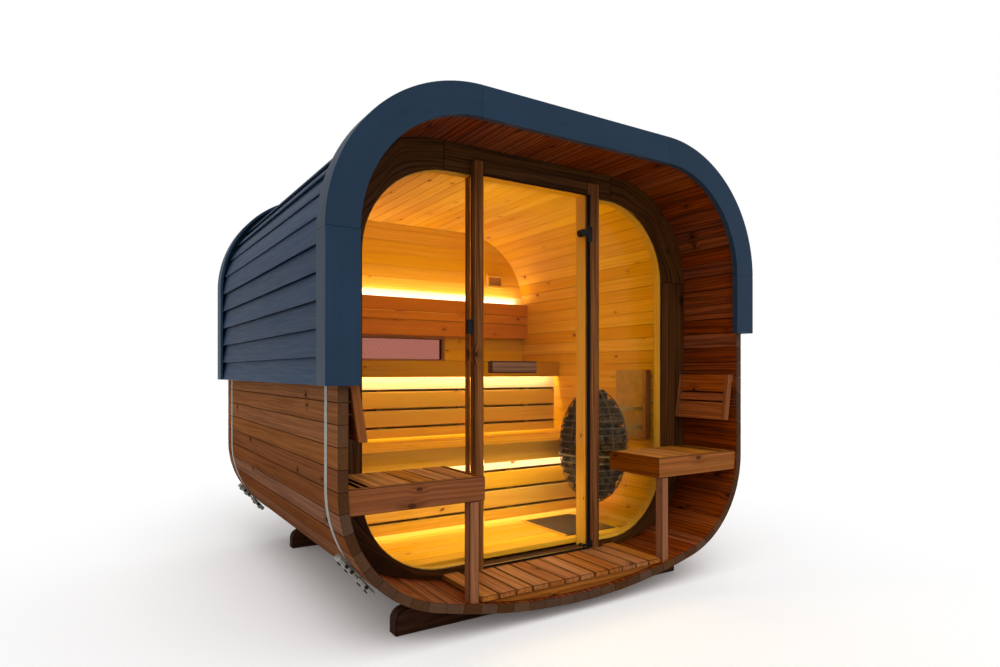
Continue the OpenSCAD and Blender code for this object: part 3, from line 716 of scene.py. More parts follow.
# %% Soften a measured part
def where_round(x, z):
    """The opposite of round_barrel: how far round a point is, and how far out."""
    flip, x = x < 0, abs(x)
    if z >= side_high and x <= shoulder_x:
        s, out = half_round - x, z - roof_high
    elif z >= side_high:
        dx, dz = x - shoulder_x, z - side_high
        s, out = shoulder_start + math.atan2(dz, dx) * shoulder_r, math.hypot(dx, dz) - shoulder_r
    elif z >= side_low:
        s, out = side_start + z - side_low, x - barrel_half
    else:
        dx, dz = x - lower_x, side_low - z
        if dx > 0 and math.atan2(dx, dz) > belly_turn:
            s, out = corner_start + (math.atan2(dx, dz) - belly_turn) * lower_r, math.hypot(dx, dz) - lower_r
        else:
            dz = belly_mid - z
            s, out = belly_r * math.atan2(x, dz), math.hypot(x, dz) - belly_r
    return (all_round - s if flip else s), out


def solids_in(work):
    """The separate solids of a mesh, as lists of vertices."""
    left, found = set(work.verts), []
    while left:
        queue, solid = [left.pop()], []
        while queue:
            vert = queue.pop()
            solid.append(vert)
            for edge in vert.link_edges:
                other = edge.other_vert(vert)
                if other in left:
                    left.remove(other)
                    queue.append(other)
        found.append(solid)
    return sorted(found, key=lambda solid: tuple(min(v.co[i] for v in solid) for i in (0, 1, 2)))


def soften(node, name, finish, ease, run, body="root", crisp=20, wide=None):
    """A copy of a measured node with rounded edges, its grain along axis run, or round the barrel."""
    work = start_work(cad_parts[node].data)
    bmesh.ops.remove_doubles(work, verts=work.verts, dist=1e-5)
    bmesh.ops.dissolve_limit(work, angle_limit=0.01, verts=work.verts, edges=work.edges)
    sharp_from = math.radians(35)
    sharp = [edge for edge in work.edges if len(edge.link_faces) == 2 and edge.calc_face_angle(0) > sharp_from]
    rounded = bmesh.ops.bevel(work, geom=sharp, offset=ease, segments=2, profile=0.5, affect="EDGES",
                              clamp_overlap=True)
    for face in rounded["faces"]:
        face[work.faces.layers.float["joint"]] = 1.0
    for solid in solids_in(work):
        shift, layer, tone = deal_grain()
        for vert in solid:
            if run == "round":
                s, out = where_round(vert.co.x, vert.co.z)
                note(work, vert, (s + shift, out + 0.37 * shift, vert.co.y + layer), tone)
            else:
                across, deep = [i for i in range(3) if i != run]
                if wide == deep:
                    across, deep = deep, across
                note(work, vert, (vert.co[run] + shift, vert.co[across] + 0.37 * shift, vert.co[deep] + layer), tone)
    finish_work(work, name, [finish], [node], body, crisp)


# The ring, head and sill take the stain's shaded copy and the posts its lit copy: painted shade and painted light.
soften("glazing_frame", "wall_ring", shaded_frame_stain, 0.002, "round")
soften("door_posts", "door_post_pair", lit_jamb_stain, 0.002, 2)
soften("door_header", "door_head", shaded_frame_stain, 0.002, 0, wide=2)
soften("door_sill", "door_threshold", shaded_frame_stain, 0.002, 0)

# %% [markdown]
# ## Glass
# The panes are toughened glass 8 mm thick. A Principled shader with full transmission bends and mirrors light
# properly. On its own it would also block the lamps, because light paths to a lamp can't be bent, so those paths pass
# through a Transparent shader instead. The tiny change in roughness is the film of dust and smears that every pane
# has.

# %% Mix the glass and glaze the wall
def own_place(tree):
    """A point's place in the piece's own coordinates, in metres."""
    return wire(tree, "TexCoord").outputs["Object"]


smear_effect, given, out = new_effect("smears", [("Amount", "Float", 0.02)], [("Dullness", "Float")])
g = smear_effect
film = noise(g, scale_place(g, own_place(g), (3.0, 3.0, 0.8)), 2.0, detail=5.0, distortion=1.2)
g.links.new(reckon(g, "MULTIPLY", fade(g, film, 0.45, 0.75), given["Amount"]), out["Dullness"])


def glass_finish(name, tint, amount):
    finish, tree, shader = new_material(name)
    shader.inputs["Base Color"].default_value = tint
    shader.inputs["Transmission Weight"].default_value = 1.0
    shader.inputs["IOR"].default_value = 1.12
    tree.links.new(use_effect(tree, smear_effect, Amount=amount)["Dullness"], shader.inputs["Roughness"])
    rays = wire(tree, "LightPath")
    clear = wire(tree, "BsdfTransparent", {"Color": tint})
    pane = wire(tree, "MixShader", {0: rays.outputs["Is Shadow Ray"], 1: shader.outputs[0], 2: clear.outputs[0]})
    tree.links.new(pane.outputs[0], tree.nodes["Material Output"].inputs[0])
    return finish


clear_pane = glass_finish("clear_pane", (0.97, 0.975, 0.965, 1), 0.02)
bronze_pane = glass_finish("bronze_pane", (0.39, 0.13, 0.096, 1), 0.06)
soften("side_glass", "side_panes", clear_pane, 0.0008, 2, crisp=4)
soften("door_glass", "door_leaf", clear_pane, 0.0008, 2, body="door", crisp=4)
soften("back_window", "rear_pane", bronze_pane, 0.0008, 0, crisp=4)

# %% [markdown]
# ## Black steel and zinc
# The hinges, the catch and the handle's stand-offs are powder-coated black, which is slightly rough and rubs shiny at
# the edges. The hoops and their tighteners are hot-dip galvanised: zinc freezes in flat crystals, each a slightly
# different grey. A cell pattern gives the crystals, and one more effect serves every rubbed metal.

# %% Mix the metals
rubbed_effect, given, out = new_effect(
    "rubbed_metal", [("Joint", "Float", 0.0), ("Tint", "Color"), ("Bare", "Color"), ("Wear", "Float", 0.4)])
g = rubbed_effect
hands = noise(g, own_place(g), 18.0, detail=5.0)
bare = reckon(g, "MULTIPLY", reckon(g, "MULTIPLY", given["Joint"], given["Wear"]), fade(g, hands, 0.4, 0.6))
tinted = wire(g, "HueSaturation", {"Value": fade(g, hands, 0.3, 0.7, 0.85, 1.15), "Color": given["Tint"]}).outputs[0]
g.links.new(blend_colours(g, bare, tinted, given["Bare"]), out["Colour"])
g.links.new(hands, out["Dullness"])
g.links.new(noise(g, own_place(g), 420.0, detail=2.0), out["Relief"])


def metal_finish(name, tint, bare, wear, dull, metallic, shine=0.5):
    finish, tree, shader = new_material(name)
    rubbed = use_effect(tree, rubbed_effect, Joint=read_note(tree, "joint"), Tint=colour(tint), Bare=colour(bare),
                        Wear=wear)
    wear_effect(tree, shader, rubbed, dull, 0.08, 0.001, (0.2, 0.8))
    shader.inputs["Metallic"].default_value = metallic
    shader.inputs["Specular IOR Level"].default_value = shine
    return finish


black_steel = metal_finish("black_steel", "0a0a0b", "2a2a2c", 0.4, (0.35, 0.55), 0.1, 0.25)
black_rubber = metal_finish("black_rubber", "070606", "121113", 0.3, (0.6, 0.8), 0.0, 0.08)
tray_plate = metal_finish("tray_plate", "3b362f", "6b645a", 0.5, (0.28, 0.42), 0.5)
shield_plate = metal_finish("shield_plate", "a8843c", "b8924a", 0.4, (0.35, 0.5), 0.15, 0.3)
basket_wire = metal_finish("basket_wire", "5f4828", "86683c", 0.3, (0.35, 0.5), 0.3, 0.3)

zinc, tree, shader = new_material("hot_dip_zinc")
crystals = wire(tree, "TexVoronoi", {"Vector": own_place(tree), "Scale": 95.0}, feature="F1").outputs["Color"]
facet = wire(tree, "SeparateColor", {0: crystals}).outputs[0]
dirt = noise(tree, own_place(tree), 14.0, detail=5.0)
grey = blend_colours(tree, facet, colour("7d7a74"), colour("a39f97"))
grey = blend_colours(tree, fade(tree, dirt, 0.5, 0.75, 0.0, 0.5), grey, colour("6e675c"))
tree.links.new(grey, shader.inputs["Base Color"])
rough = wire(tree, "MapRange", {0: facet, 1: 0.0, 2: 1.0, 3: 0.32, 4: 0.52}).outputs[0]
tree.links.new(rough, shader.inputs["Roughness"])
shader.inputs["Metallic"].default_value = 0.45
print("metals: black steel, rubber, tray, shield, wire and zinc")

# %% [markdown]
# ## The door
# The leaf is one pane hung on two clamps, so the metal is on the glass and turns with it. The handle is a wooden bar,
# held off the pane by two square black stand-offs. A black seal closes the gaps: a strip down the hinge post, a thin
# one under the head and one on the threshold. They stay with the frame when the door opens.

# %% Hang the door
soften("door_hinge_clamps", "glass_clamps", black_steel, 0.0008, 2, body="door")
soften("door_hinge_plates", "hinge_leaves", black_steel, 0.0006, 2)
soften("door_catch", "catch_block", black_steel, 0.002, 2)

bar_low, bar_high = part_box("door_handle")
pane_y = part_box("door_glass")[0].y
bar_depth, peg, peg_in = 0.038, 0.024, 0.020
bar_back, bar_mid, half_peg = bar_low.y + bar_depth, (bar_low.z + bar_high.z) / 2, peg / 2
work = start_work()
lay_board(work, bar_low, (bar_high.x, bar_back, bar_high.z), 0, 0.005)
for x in (bar_low.x + peg_in, bar_high.x - peg_in - peg):
    lay_board(work, (x, bar_back - 0.001, bar_mid - half_peg), (x + peg, pane_y - 0.0003, bar_mid + half_peg), 1,
              0.0015, 1)
finish_work(work, "pull_bar", [handle_oil, black_steel], ["door_handle"], "door")

post_low, post_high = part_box("door_posts")
post_x, post_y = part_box("door_header")[1].x, post_low.y
sill_z, head_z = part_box("door_sill")[1].z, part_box("door_header")[0].z
seal_x = post_x - 0.002
work = start_work()
for low, high, run in (((post_x + 0.0005, post_y - 0.0016, sill_z), (post_x + 0.022, post_y + 0.001, head_z), 2),
                       ((-seal_x, post_y + 0.004, head_z - 0.005), (seal_x, post_y + 0.020, head_z + 0.001), 0),
                       ((-seal_x, post_y + 0.002, sill_z - 0.001), (seal_x, post_y + 0.022, sill_z + 0.005), 0)):
    lay_board(work, low, high, run, 0.0006)
finish_work(work, "door_seals", [black_rubber])

# %% [markdown]
# The inner faces of the door's posts and head belong to the cabin: they are lined with thin bare spruce behind the
# leaf, so they catch the lamps and shine gold beside the black seal. The frame round the side panes is lined the same
# way.

# %% Line the doorway
lining_back, lining_t, lining_in = post_high.y - 0.001, 0.002, 0.0002
leaf_back, head_x = pane_y + 0.014, post_x - 0.003
work = start_work()
for side in both_ways:
    inner, outer = sorted((side * (post_x - lining_t), side * (post_x - lining_in)))
    lay_board(work, (inner, leaf_back, sill_z + 0.001), (outer, lining_back, head_z - 0.001), 2, 0.0004)
lay_board(work, (-head_x, leaf_back, head_z - lining_t), (head_x, lining_back, head_z - lining_in), 0, 0.0004)
finish_work(work, "doorway_lining", [bare_spruce])


# %% Line the frame round the side panes
panes_low, panes_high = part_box("side_glass")
upper_bend, lower_bend, bend_steps = 0.42, 0.39, 12


def opening_line(side, inside):
    """Half of the glazed opening's outline, from the post above to the post below, drawn in by a small distance."""
    half, top, bottom = panes_high.x - inside, panes_high.z - inside, panes_low.z + inside
    start = abs(post_low.x if side < 0 else post_high.x)
    line = [(start, top)]
    for bend, centre_z, first in ((upper_bend, top - upper_bend + inside, 90),
                                  (lower_bend, bottom + lower_bend - inside, 0)):
        radius = bend - inside
        for step in range(bend_steps + 1):
            a = math.radians(first - 90 / bend_steps * step)
            line.append((half - radius + radius * math.cos(a), centre_z + radius * math.sin(a)))
    line.append((start, bottom))
    return [(side * x, z) for x, z in line]


work = start_work()
pane_back = panes_high.y + 0.0005
for side in both_ways:
    rings = []
    for (x0, z0), (x1, z1) in zip(opening_line(side, lining_in), opening_line(side, lining_in + lining_t)):
        square = ((x0, pane_back, z0), (x0, lining_back, z0), (x1, lining_back, z1), (x1, pane_back, z1))
        rings.append([note(work, work.verts.new((x, y, z)), (z, y, x), 0.5) for x, y, z in square])
    join_rings(work, rings)
# The lining takes the darker spruce of the risers, painted shade.
finish_work(work, "pane_lining", [shaded_riser_spruce], crisp=30)

# %% [markdown]
# ## Inside the cabin
# The back wall is horizontal boards between the side staves, cut round a low window. Boards that run from wall to wall
# are the commonest thing in this build, so they get their own helpers. They must end on a curve: each is laid with a
# plain square end, and the end is then moved out to the barrel's own line at that height. One board of the back wall,
# behind the upper strip of lamps, is paler, as if the light had washed it out.

# %% Board the back wall
sunk = 0.033


def half_at(z):
    """Half the width of the line on which boards end, at height z. It lies sunk metres inside the staves' face."""
    def arc_at(radius, height):
        return math.sqrt(max(0.0, (radius - sunk) ** 2 - height**2))

    if z > side_high:
        return shoulder_x + arc_at(shoulder_r, z - side_high)
    if z >= side_low:
        return barrel_half - sunk
    if z < belly_mid - (belly_r - sunk) * math.cos(belly_turn):
        return arc_at(belly_r, belly_mid - z)
    return lower_x + arc_at(lower_r, side_low - z)


def meet_wall(point):
    """Moves a square end, laid at 1 m from the middle, out to the wall."""
    if abs(point.x) < 0.9:
        return point
    return Vector((math.copysign(half_at(point.z) - (1.0 - abs(point.x)), point.x), point.y, point.z))


def lay_across(work, low, high, ease=0.002, finish=0, ends=(-1.0, 1.0)):
    """A board from wall to wall, between two corners given as y, z."""
    lay_board(work, (ends[0], *low), (ends[1], *high), 0, ease, finish, meet_wall)


def lay_row(work, low, high, count, gap, ease):
    """Boards from wall to wall, one behind the other, between two corners given as y, z."""
    pitch = (high[0] - low[0] + gap) / count
    for n in range(count):
        y = low[0] + n * pitch
        lay_across(work, (y, low[1]), (y + pitch - gap, high[1]), ease)


pane_low, pane_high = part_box("back_window")
wall_low, wall_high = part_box("back_wall_low")[0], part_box("back_wall_high")[1]
rest_low, rest_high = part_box("cabin_backrest")
open_x, open_z0, open_z1 = 0.375, pane_low.z - 0.0005, pane_high.z + 0.0005
pitch = (open_z1 - open_z0) / 2
least = 0.01
mid_y = (wall_low.y + wall_high.y) / 2
strip_z = rest_high.z + 0.025
work = start_work()
z = open_z0 - pitch * math.floor((open_z0 - wall_low.z) / pitch) - pitch
while z < wall_high.z - least:
    bottom, top = max(z, wall_low.z), min(z + pitch, wall_high.z)
    beside_window = open_z0 - least < z < open_z1 - least
    for ends in ((-1.0, -open_x), (open_x, 1.0)) if beside_window else ((-1.0, 1.0),):
        if top - bottom > least:
            lay_across(work, (wall_low.y, bottom), (mid_y, top), 0.0022, 2 if bottom < strip_z < top else 0, ends)
            lay_across(work, (mid_y, bottom), (wall_high.y, top), 0.0028, 1, ends)
    z += pitch
finish_work(work, "back_wall_boards", [bare_spruce, outside_oil, lit_spruce],
            ["back_wall_low", "back_wall_middle", "back_wall_high"])


# %% Trim the window and the vent
def lay_frame(work, low, high, wide, finish=0):
    """Four strips round an opening in a wall that faces the porch."""
    (x0, y0, z0), (x1, y1, z1) = low, high
    for left, bottom, right, top, run in ((x0, z0, x1, z0 + wide, 0), (x0, z1 - wide, x1, z1, 0),
                                          (x0, z0 + wide, x0 + wide, z1 - wide, 2),
                                          (x1 - wide, z0 + wide, x1, z1 - wide, 2)):
        lay_board(work, (left, y0, bottom), (right, y1, top), run, 0.0015, finish)


work = start_work()
for lap, y0, y1, wide, finish in ((0.012, wall_low.y - 0.006, pane_low.y - 0.001, 0.022, 0),
                                  (0.016, pane_high.y + 0.001, wall_high.y + 0.006, 0.028, 1)):
    lay_frame(work, (pane_low.x - lap, y0, pane_low.z - lap), (pane_high.x + lap, y1, pane_high.z + lap), wide, finish)
finish_work(work, "window_trim", [trim_wood, outside_oil])
vent_low, vent_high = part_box("vent")
vent_edge, vent_in = 0.018, 0.016
work = start_work()
lay_frame(work, vent_low, vent_high, vent_edge)
lay_board(work, (vent_low.x + vent_in, vent_low.y + 0.009, vent_low.z + vent_in),
          (vent_high.x - vent_in, vent_high.y, vent_high.z - vent_in), 0, 0.001, 1)
finish_work(work, "vent_cover", [bare_spruce, trim_wood], ["vent"])

# %% [markdown]
# ## Floor and benches
# The floor's boards run across the cabin. Two benches climb the back: each is a slatted top, a deep front board that
# hides a lamp strip, and a slatted riser with three dark gaps. The gaps are real openings with battens behind them,
# since a painted line would stay a line when seen from the side. The top board of each riser is paler, because the
# lamps lie against it. The backrest is three boards on blocks, with a lamp behind.

# %% Lay the floor
floor_low, floor_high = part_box("cabin_floor")
work = start_work()
lay_row(work, (floor_low.y, floor_low.z), (floor_high.y, floor_high.z), 19, 0.0012, 0.0015)
finish_work(work, "cabin_floor_boards", [bare_spruce], ["cabin_floor"])
soften("floor_tray", "stove_tray", tray_plate, 0.0012, 0)
tray_low, tray_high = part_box("floor_tray")
edge_w, edge_h = 0.014, 0.007
edge_y, edge_z = tray_high.y + edge_w, floor_high.z + edge_h
work = start_work()
lay_board(work, (tray_low.x - edge_w, tray_low.y, floor_high.z), (tray_low.x, edge_y, edge_z), 1, 0.0015)
lay_board(work, (tray_low.x, tray_high.y, floor_high.z), (tray_high.x, edge_y, edge_z), 0, 0.0015)
finish_work(work, "tray_trim", [bare_spruce])

# %% Build the benches
low_top, up_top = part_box("lower_bench"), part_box("upper_bench")
fronts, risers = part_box("bench_fronts"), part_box("bench_risers")
front_t, riser_t, rest_t, slit = 0.028, 0.028, 0.025, 0.015
work = start_work()
for (low, high), slats in ((low_top, 6), (up_top, 4)):
    lay_row(work, (low.y + 0.0005, low.z), (high.y, high.z), slats, 0.006, 0.0025)
finish_work(work, "bench_tops", [bare_spruce], ["lower_bench", "upper_bench"])

work = start_work()
front_h = low_top[1].z - fronts[0].z
lay_across(work, (fronts[0].y, fronts[0].z), (fronts[0].y + front_t, low_top[1].z), 0.003)
lay_across(work, (fronts[1].y - front_t, fronts[1].z - front_h), (fronts[1].y, fronts[1].z), 0.003)
finish_work(work, "bench_front_boards", [shaded_front_spruce], ["bench_fronts"])

low_riser_y, up_riser_y = risers[0].y, risers[1].y - riser_t
low_slits = [risers[0].z, 0.275, 0.392, 0.506, low_top[0].z - 0.0003]
up_slits = [0.619, 0.742, 0.862, 0.987, risers[1].z]
work = start_work()
for y, heights in ((low_riser_y, low_slits), (up_riser_y, up_slits)):
    for n in range(4):
        bottom = heights[n] + (slit / 2 if n else 0)
        top = heights[n + 1] - (slit / 2 if n < 3 else 0)
        lay_across(work, (y, bottom), (y + riser_t, top), finish=int(n == 3))
    for x in (-0.86, -0.3, 0.3, 0.86):
        back = y + riser_t
        lay_board(work, (x - 0.024, back, heights[0] + 0.004), (x + 0.024, back + 0.03, heights[-1] - 0.004), 2)
finish_work(work, "bench_riser_boards", [shaded_riser_spruce, lit_spruce], ["bench_risers"])

# %% Fix the backrest
rest_back = rest_low.y + rest_t
work = start_work()
for bottom, top in ((rest_low.z, 1.486), (1.4945, 1.552), (1.560, rest_high.z)):
    lay_across(work, (rest_low.y, bottom), (rest_back, top), 0.0025)
for x in (-0.7, 0.0, 0.7):
    lay_board(work, (x - 0.02, rest_back - 0.001, rest_low.z + 0.012), (x + 0.02, rest_high.y, rest_high.z - 0.015), 2)
finish_work(work, "backrest_boards", [shaded_rest_spruce], ["cabin_backrest"])

# %% [markdown]
# ## Warm light
# Strips of lamps hide behind the bench fronts and the backrest. The strips themselves glow, so they look lit on their
# own. A glowing mesh this thin makes a noisy picture as the only source, so a real area lamp lies along each strip, and
# one soft lamp in the middle stands for all the light that bounces round the pale cabin. The strips' own beads also
# light the boards right beside them almost white, which three more lamps do: they are violet or blue, and the
# honey-coloured timber turns that into a plain warm white. The last lamp is the wash of light on the floor.

# %% Light the strips
strip_light, tree, shader = new_material("lamp_strip")
along = wire(tree, "SeparateXYZ", {0: own_place(tree)}).outputs[0]
beads = reckon(tree, "SINE", reckon(tree, "MULTIPLY", along, 377.0))
warm = blend_colours(tree, fade(tree, beads, -1.0, 1.0), (1.0, 0.78, 0.42, 1), (1.0, 0.88, 0.62, 1))
shader.inputs["Base Color"].default_value = (0.9, 0.8, 0.6, 1)
tree.links.new(warm, shader.inputs["Emission Color"])
shader.inputs["Emission Strength"].default_value = 9.0
soften("led_strips", "lamp_strips", strip_light, 0.002, 0)


def hang_panel(name, place, target, power, tint, long=2.05, wide=0.012):
    """A panel of light as long as a strip, from a place (y, z) on the middle line towards a target (y, z)."""
    aim = Vector((0, *target)) - Vector((0, *place))
    hang_lamp(name, "AREA", power, (0, *place), aim, tint, shape="RECTANGLE", size=long, size_y=wide)


honey, violet, amber = (1.0, 0.88, 0.12), (0.5, 0.42, 1.0), (1.0, 0.92, 0.01)
low_z, up_z, rest_y, rest_z, look_on = low_top[0].z, up_top[0].z, rest_high.y, rest_high.z, 0.3
behind, below, near_wide = 0.0195, 0.018, 0.010
for name, start, target, z, power in (
        ("upper_bench_lamp", fronts[1].y + behind, fronts[1].y + 0.06, up_z, 5.4),
        ("lower_bench_lamp", fronts[0].y + front_t + behind, fronts[0].y + 0.09, low_z, 4.2)):
    hang_panel(name, (start, z - below), (target, z - look_on), power, honey)
hang_panel("backrest_lamp", (rest_y - 0.045, rest_z - 0.001), (rest_y - 0.035, rest_z + look_on), 4.6,
           (1.0, 0.68, 0.22))
cabin_glow = hang_lamp("cabin_glow", "POINT", 11.2, (0.25, 0.0, 1.72), tint=amber, shadow_soft_size=0.4)
cabin_glow.visible_glossy = cabin_glow.visible_transmission = False
for name, y, z, power in (("upper_near", up_riser_y, risers[1].z, 19.0), ("lower_near", low_riser_y, low_z, 23.0)):
    hang_panel(name, (y - 0.030, z - 0.008), (y, z - 0.034), power, violet, wide=near_wide)
hang_panel("rest_near", (rest_y - 0.020, rest_z + 0.002), (rest_y - 0.005, rest_z + look_on), 2.8, (0.1, 0.2, 1.0),
           wide=near_wide)
floor_y = (floor_low.y + fronts[0].y) / 2
hang_panel("floor_wash", (floor_y, 0.62), (floor_y, 0.0), 4.2, (1.0, 0.92, 0.6), long=1.7, wide=0.45)
print("cabin lamps lit")

# %% [markdown]
# ## The stove
# The stove is an egg-shaped basket of wire that holds rough dark stones round the heating rods. Modelling each stone
# by hand would take a day. A stone is a ball cut by a few random planes, which gives flat faces and dull edges, and
# bigger stones in the middle stop the light. The wire is a thin tube swept along circles and along the egg's upright
# lines.

# %% Cut the stones
stone_grey, tree, shader = new_material("sauna_stone")
specks = noise(tree, own_place(tree), 90.0, detail=6.0, roughness=0.7)
# The stones' warm browns are partly painted light: the amber cast of the cabin lamps, laid over their own dark colour.
rock = blend_colours(tree, read_note(tree, "board"), colour("2c1f0e"), colour("4a371c"))
rock = blend_colours(tree, fade(tree, specks, 0.45, 0.7, 0.0, 0.6), rock, colour("634c2a"))
rock = blend_colours(tree, fade(tree, specks, 0.5, 0.3, 0.0, 0.6), rock, colour("1a140b"))
tree.links.new(rock, shader.inputs["Base Color"])
shader.inputs["Roughness"].default_value = 0.8
shader.inputs["Specular IOR Level"].default_value = 0.15
bump = wire(tree, "Bump", {"Strength": 0.6, "Distance": 0.003, "Height": specks})
tree.links.new(bump.outputs[0], shader.inputs["Normal"])

egg_low, egg_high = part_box("stove")
egg_mid, egg_half = (egg_low + egg_high) / 2, (egg_high - egg_low) / 2
egg_tall = egg_half.z * 2


def egg_r(z, inside=0.0):
    t = (z - egg_mid.z) / (egg_half.z - inside)
    return (egg_half.x - inside) * math.sqrt(max(0.0, 1 - t * t))


def round_egg(reach, angle, z):
    return egg_mid.x + reach * math.cos(angle), egg_mid.y + reach * math.sin(angle), z


def cut_stone(work, centre, size):
    board = work.verts.layers.float["board"]
    ball = bmesh.ops.create_icosphere(work, subdivisions=3, radius=1.0)["verts"]
    stretch = Vector((dice.uniform(0.75, 1.2), dice.uniform(0.75, 1.2), dice.uniform(0.6, 0.95)))
    planes = [(Vector([dice.gauss(0, 1) for _ in range(3)]).normalized(), dice.uniform(0.55, 0.88)) for _ in range(14)]
    turn = Euler([dice.uniform(0, 6.28) for _ in range(3)]).to_matrix()
    tone = dice.random()
    for vert in ball:
        spot = vert.co.copy()
        for way, depth in planes:
            over = spot.dot(way) - depth
            if over > 0:
                spot -= way * over
        spot = Vector([a * b for a, b in zip(spot, stretch)])
        vert.co = Vector(centre) + turn @ spot * size
        vert[board] = tone


work = start_work()
stone, levels, first_up = 0.036, 13, 0.045
for level in range(levels):
    z = egg_low.z + first_up + (egg_tall - 2 * first_up) * level / (levels - 1)
    ring_r = max(0.0, egg_r(z, 0.012) - stone * 0.85)
    count = max(1, round(2 * math.pi * ring_r / (stone * 1.75)))
    for n in range(count):
        angle = 2 * math.pi * (n + 0.5 * (level % 2) + dice.uniform(-0.15, 0.15)) / count
        spot = round_egg(ring_r, angle, z + dice.uniform(-0.006, 0.006))
        cut_stone(work, spot, stone * dice.uniform(0.85, 1.1))
core, levels, first_up, count = 0.055, 10, 0.09, 5
for level in range(levels):
    z = egg_low.z + first_up + (egg_tall - 2 * first_up) * level / (levels - 1)
    room = egg_r(z, 0.07)
    if room > 0.05:
        for n in range(count):
            cut_stone(work, round_egg(room * 0.6, 2 * math.pi * (n + 0.5 * level) / count, z), core)
finish_work(work, "stove_stones", [stone_grey], crisp=18)


# %% Wind the basket
def lay_wire(work, path, radius, closed=False):
    """A six-sided round wire along a path of points."""
    rings, side_way = [], None
    for i, spot in enumerate(path):
        before = path[i - 1] if closed or i else path[0]
        after = path[(i + 1) % len(path)] if closed or i < len(path) - 1 else path[-1]
        ahead = (Vector(after) - Vector(before)).normalized()
        if side_way is None:
            side_way = ahead.orthogonal().normalized()
        side_way = (side_way - ahead * side_way.dot(ahead)).normalized()
        up_way = ahead.cross(side_way)
        rings.append([work.verts.new(Vector(spot) + radius * (math.cos(a) * side_way + math.sin(a) * up_way))
                      for a in (2 * math.pi * k / 6 for k in range(6))])
    join_rings(work, rings, closed=closed)


work = start_work()
wire_r, hoops_up, uprights = 0.0024, 17, 10
for n in range(hoops_up):
    z = egg_mid.z + egg_half.z * (-0.96 + 1.88 * n / (hoops_up - 1))
    lay_wire(work, [round_egg(egg_r(z) - wire_r, 2 * math.pi * k / 56, z) for k in range(56)], wire_r, True)
for n in range(uprights):
    line = []
    for k in range(33):
        lean = math.pi * (0.04 + 0.86 * k / 32) - math.pi / 2
        z = egg_mid.z + (egg_half.z - 2 * wire_r) * math.sin(lean)
        line.append(round_egg((egg_half.x - 2.6 * wire_r) * math.cos(lean), 2 * math.pi * (n + 0.3) / uprights, z))
    lay_wire(work, line, wire_r * 1.1)
for tilt, wide in ((0.3, 0.10), (1.5, 0.10), (2.6, 0.085)):
    arch = [math.pi * k / 20 for k in range(21)]
    lay_wire(work, [round_egg(wide * math.cos(a), tilt, egg_high.z - 0.075 + 0.070 * math.sin(a)) for a in arch],
             wire_r * 1.3)
finish_work(work, "stove_basket", [basket_wire], ["stove"], crisp=50)

# %% Mount the stove
soften("stove_bracket", "stove_arms", shield_plate, 0.0012, 2)
soften("heat_shield", "shield_sheet", shield_plate, 0.0006, 2)
soften("wall_batten", "shield_batten", trim_wood, 0.002, 2)

# %% [markdown]
# ## The porch
# Bathers cool down here, so the porch has a slatted deck and two facing seats. Each seat has slats across it, an apron
# at the front and one along its inner side that meet in a mitre, and one square leg under the corner. The backs are
# three boards, wide, narrow, wide, leaning between two cheeks. The oil is a little redder and fresher than outside.

# %% Lay the deck
deck_low, deck_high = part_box("porch_deck")
gap, boards = 0.0065, 12
pitch = (deck_high.x - deck_low.x + gap) / boards
work = start_work()
for n in range(boards):
    x0 = deck_low.x + n * pitch
    meets_door = x0 < post_high.x and x0 + pitch > post_low.x
    end = min(deck_high.y, post_low.y - 0.0005) if meets_door else deck_high.y
    lay_board(work, (x0, deck_low.y, deck_low.z), (x0 + pitch - gap, end, deck_high.z), 1, 0.0028)
finish_work(work, "deck_boards", [deck_oil], ["porch_deck"])
soften("deck_bearers", "deck_rim", deck_oil, 0.002, 0, wide=2)

# %% Build the seats
seat_low, seat_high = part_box("porch_seats")
leg_low, leg_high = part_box("seat_legs")
seat_t, apron_t, leg_w, half_gap = 0.032, 0.028, 0.046, 0.0022
inner_x, corner_reach = 0.510, 0.005
joints_x = [inner_x + apron_t, 0.628, 0.726, 0.824, 0.922, 1.0]


def mirrored(way):
    """Meets the wall, then puts the piece on the chosen side of the porch."""
    return lambda point: Vector((way * meet_wall(point).x, point.y, point.z))


def mitred(way, lengthwise):
    """As mirrored, with the corner of the two aprons cut at 45 degrees."""
    def cut(point):
        x, y, z = meet_wall(point)
        if lengthwise and x < inner_x + corner_reach:
            x += max(0.0, y - seat_low.y)
        if not lengthwise and y < seat_low.y + corner_reach:
            y += max(0.0, x - inner_x)
        return Vector((way * x, y, z))
    return cut


work = start_work()
y0, y1, slat_y, slat_z = seat_low.y, seat_high.y, seat_low.y + apron_t, seat_high.z - seat_t
for way in both_ways:
    side = mirrored(way)
    for x0, x1 in zip(joints_x, joints_x[1:]):
        lay_board(work, (x0 + half_gap, slat_y, slat_z), (x1 - half_gap, y1, seat_high.z), 1, 0.0028, 0, side)
    lay_board(work, (joints_x[-1] + 0.003, slat_y, slat_z), (joints_x[-1] + 0.06, y1, seat_high.z), 1, 0.0028, 0,
              Matrix.Scale(way, 4, (1, 0, 0)))
    lay_board(work, (inner_x, y0, seat_low.z), (1.0, slat_y, seat_high.z), 0, 0.0025, 1, mitred(way, True),
              0.5 + 0.46 * way)
    # The inner apron and a thin board under the slats take the darker oil, painted shade.
    lay_board(work, (inner_x, y0, seat_low.z), (inner_x + apron_t, y1, seat_high.z), 1, 0.0025, 2, mitred(way, False))
    lay_board(work, (joints_x[0], slat_y, slat_z - 0.008), (1.0, y1, slat_z - 0.0003), 0, 0.001, 2, side)
    leg_x = sorted((way * (leg_high.x - leg_w), way * leg_high.x))
    lay_board(work, (leg_x[0], leg_low.y, leg_low.z - 0.012), (leg_x[1], leg_high.y, leg_high.z), 2, 0.003, 1)
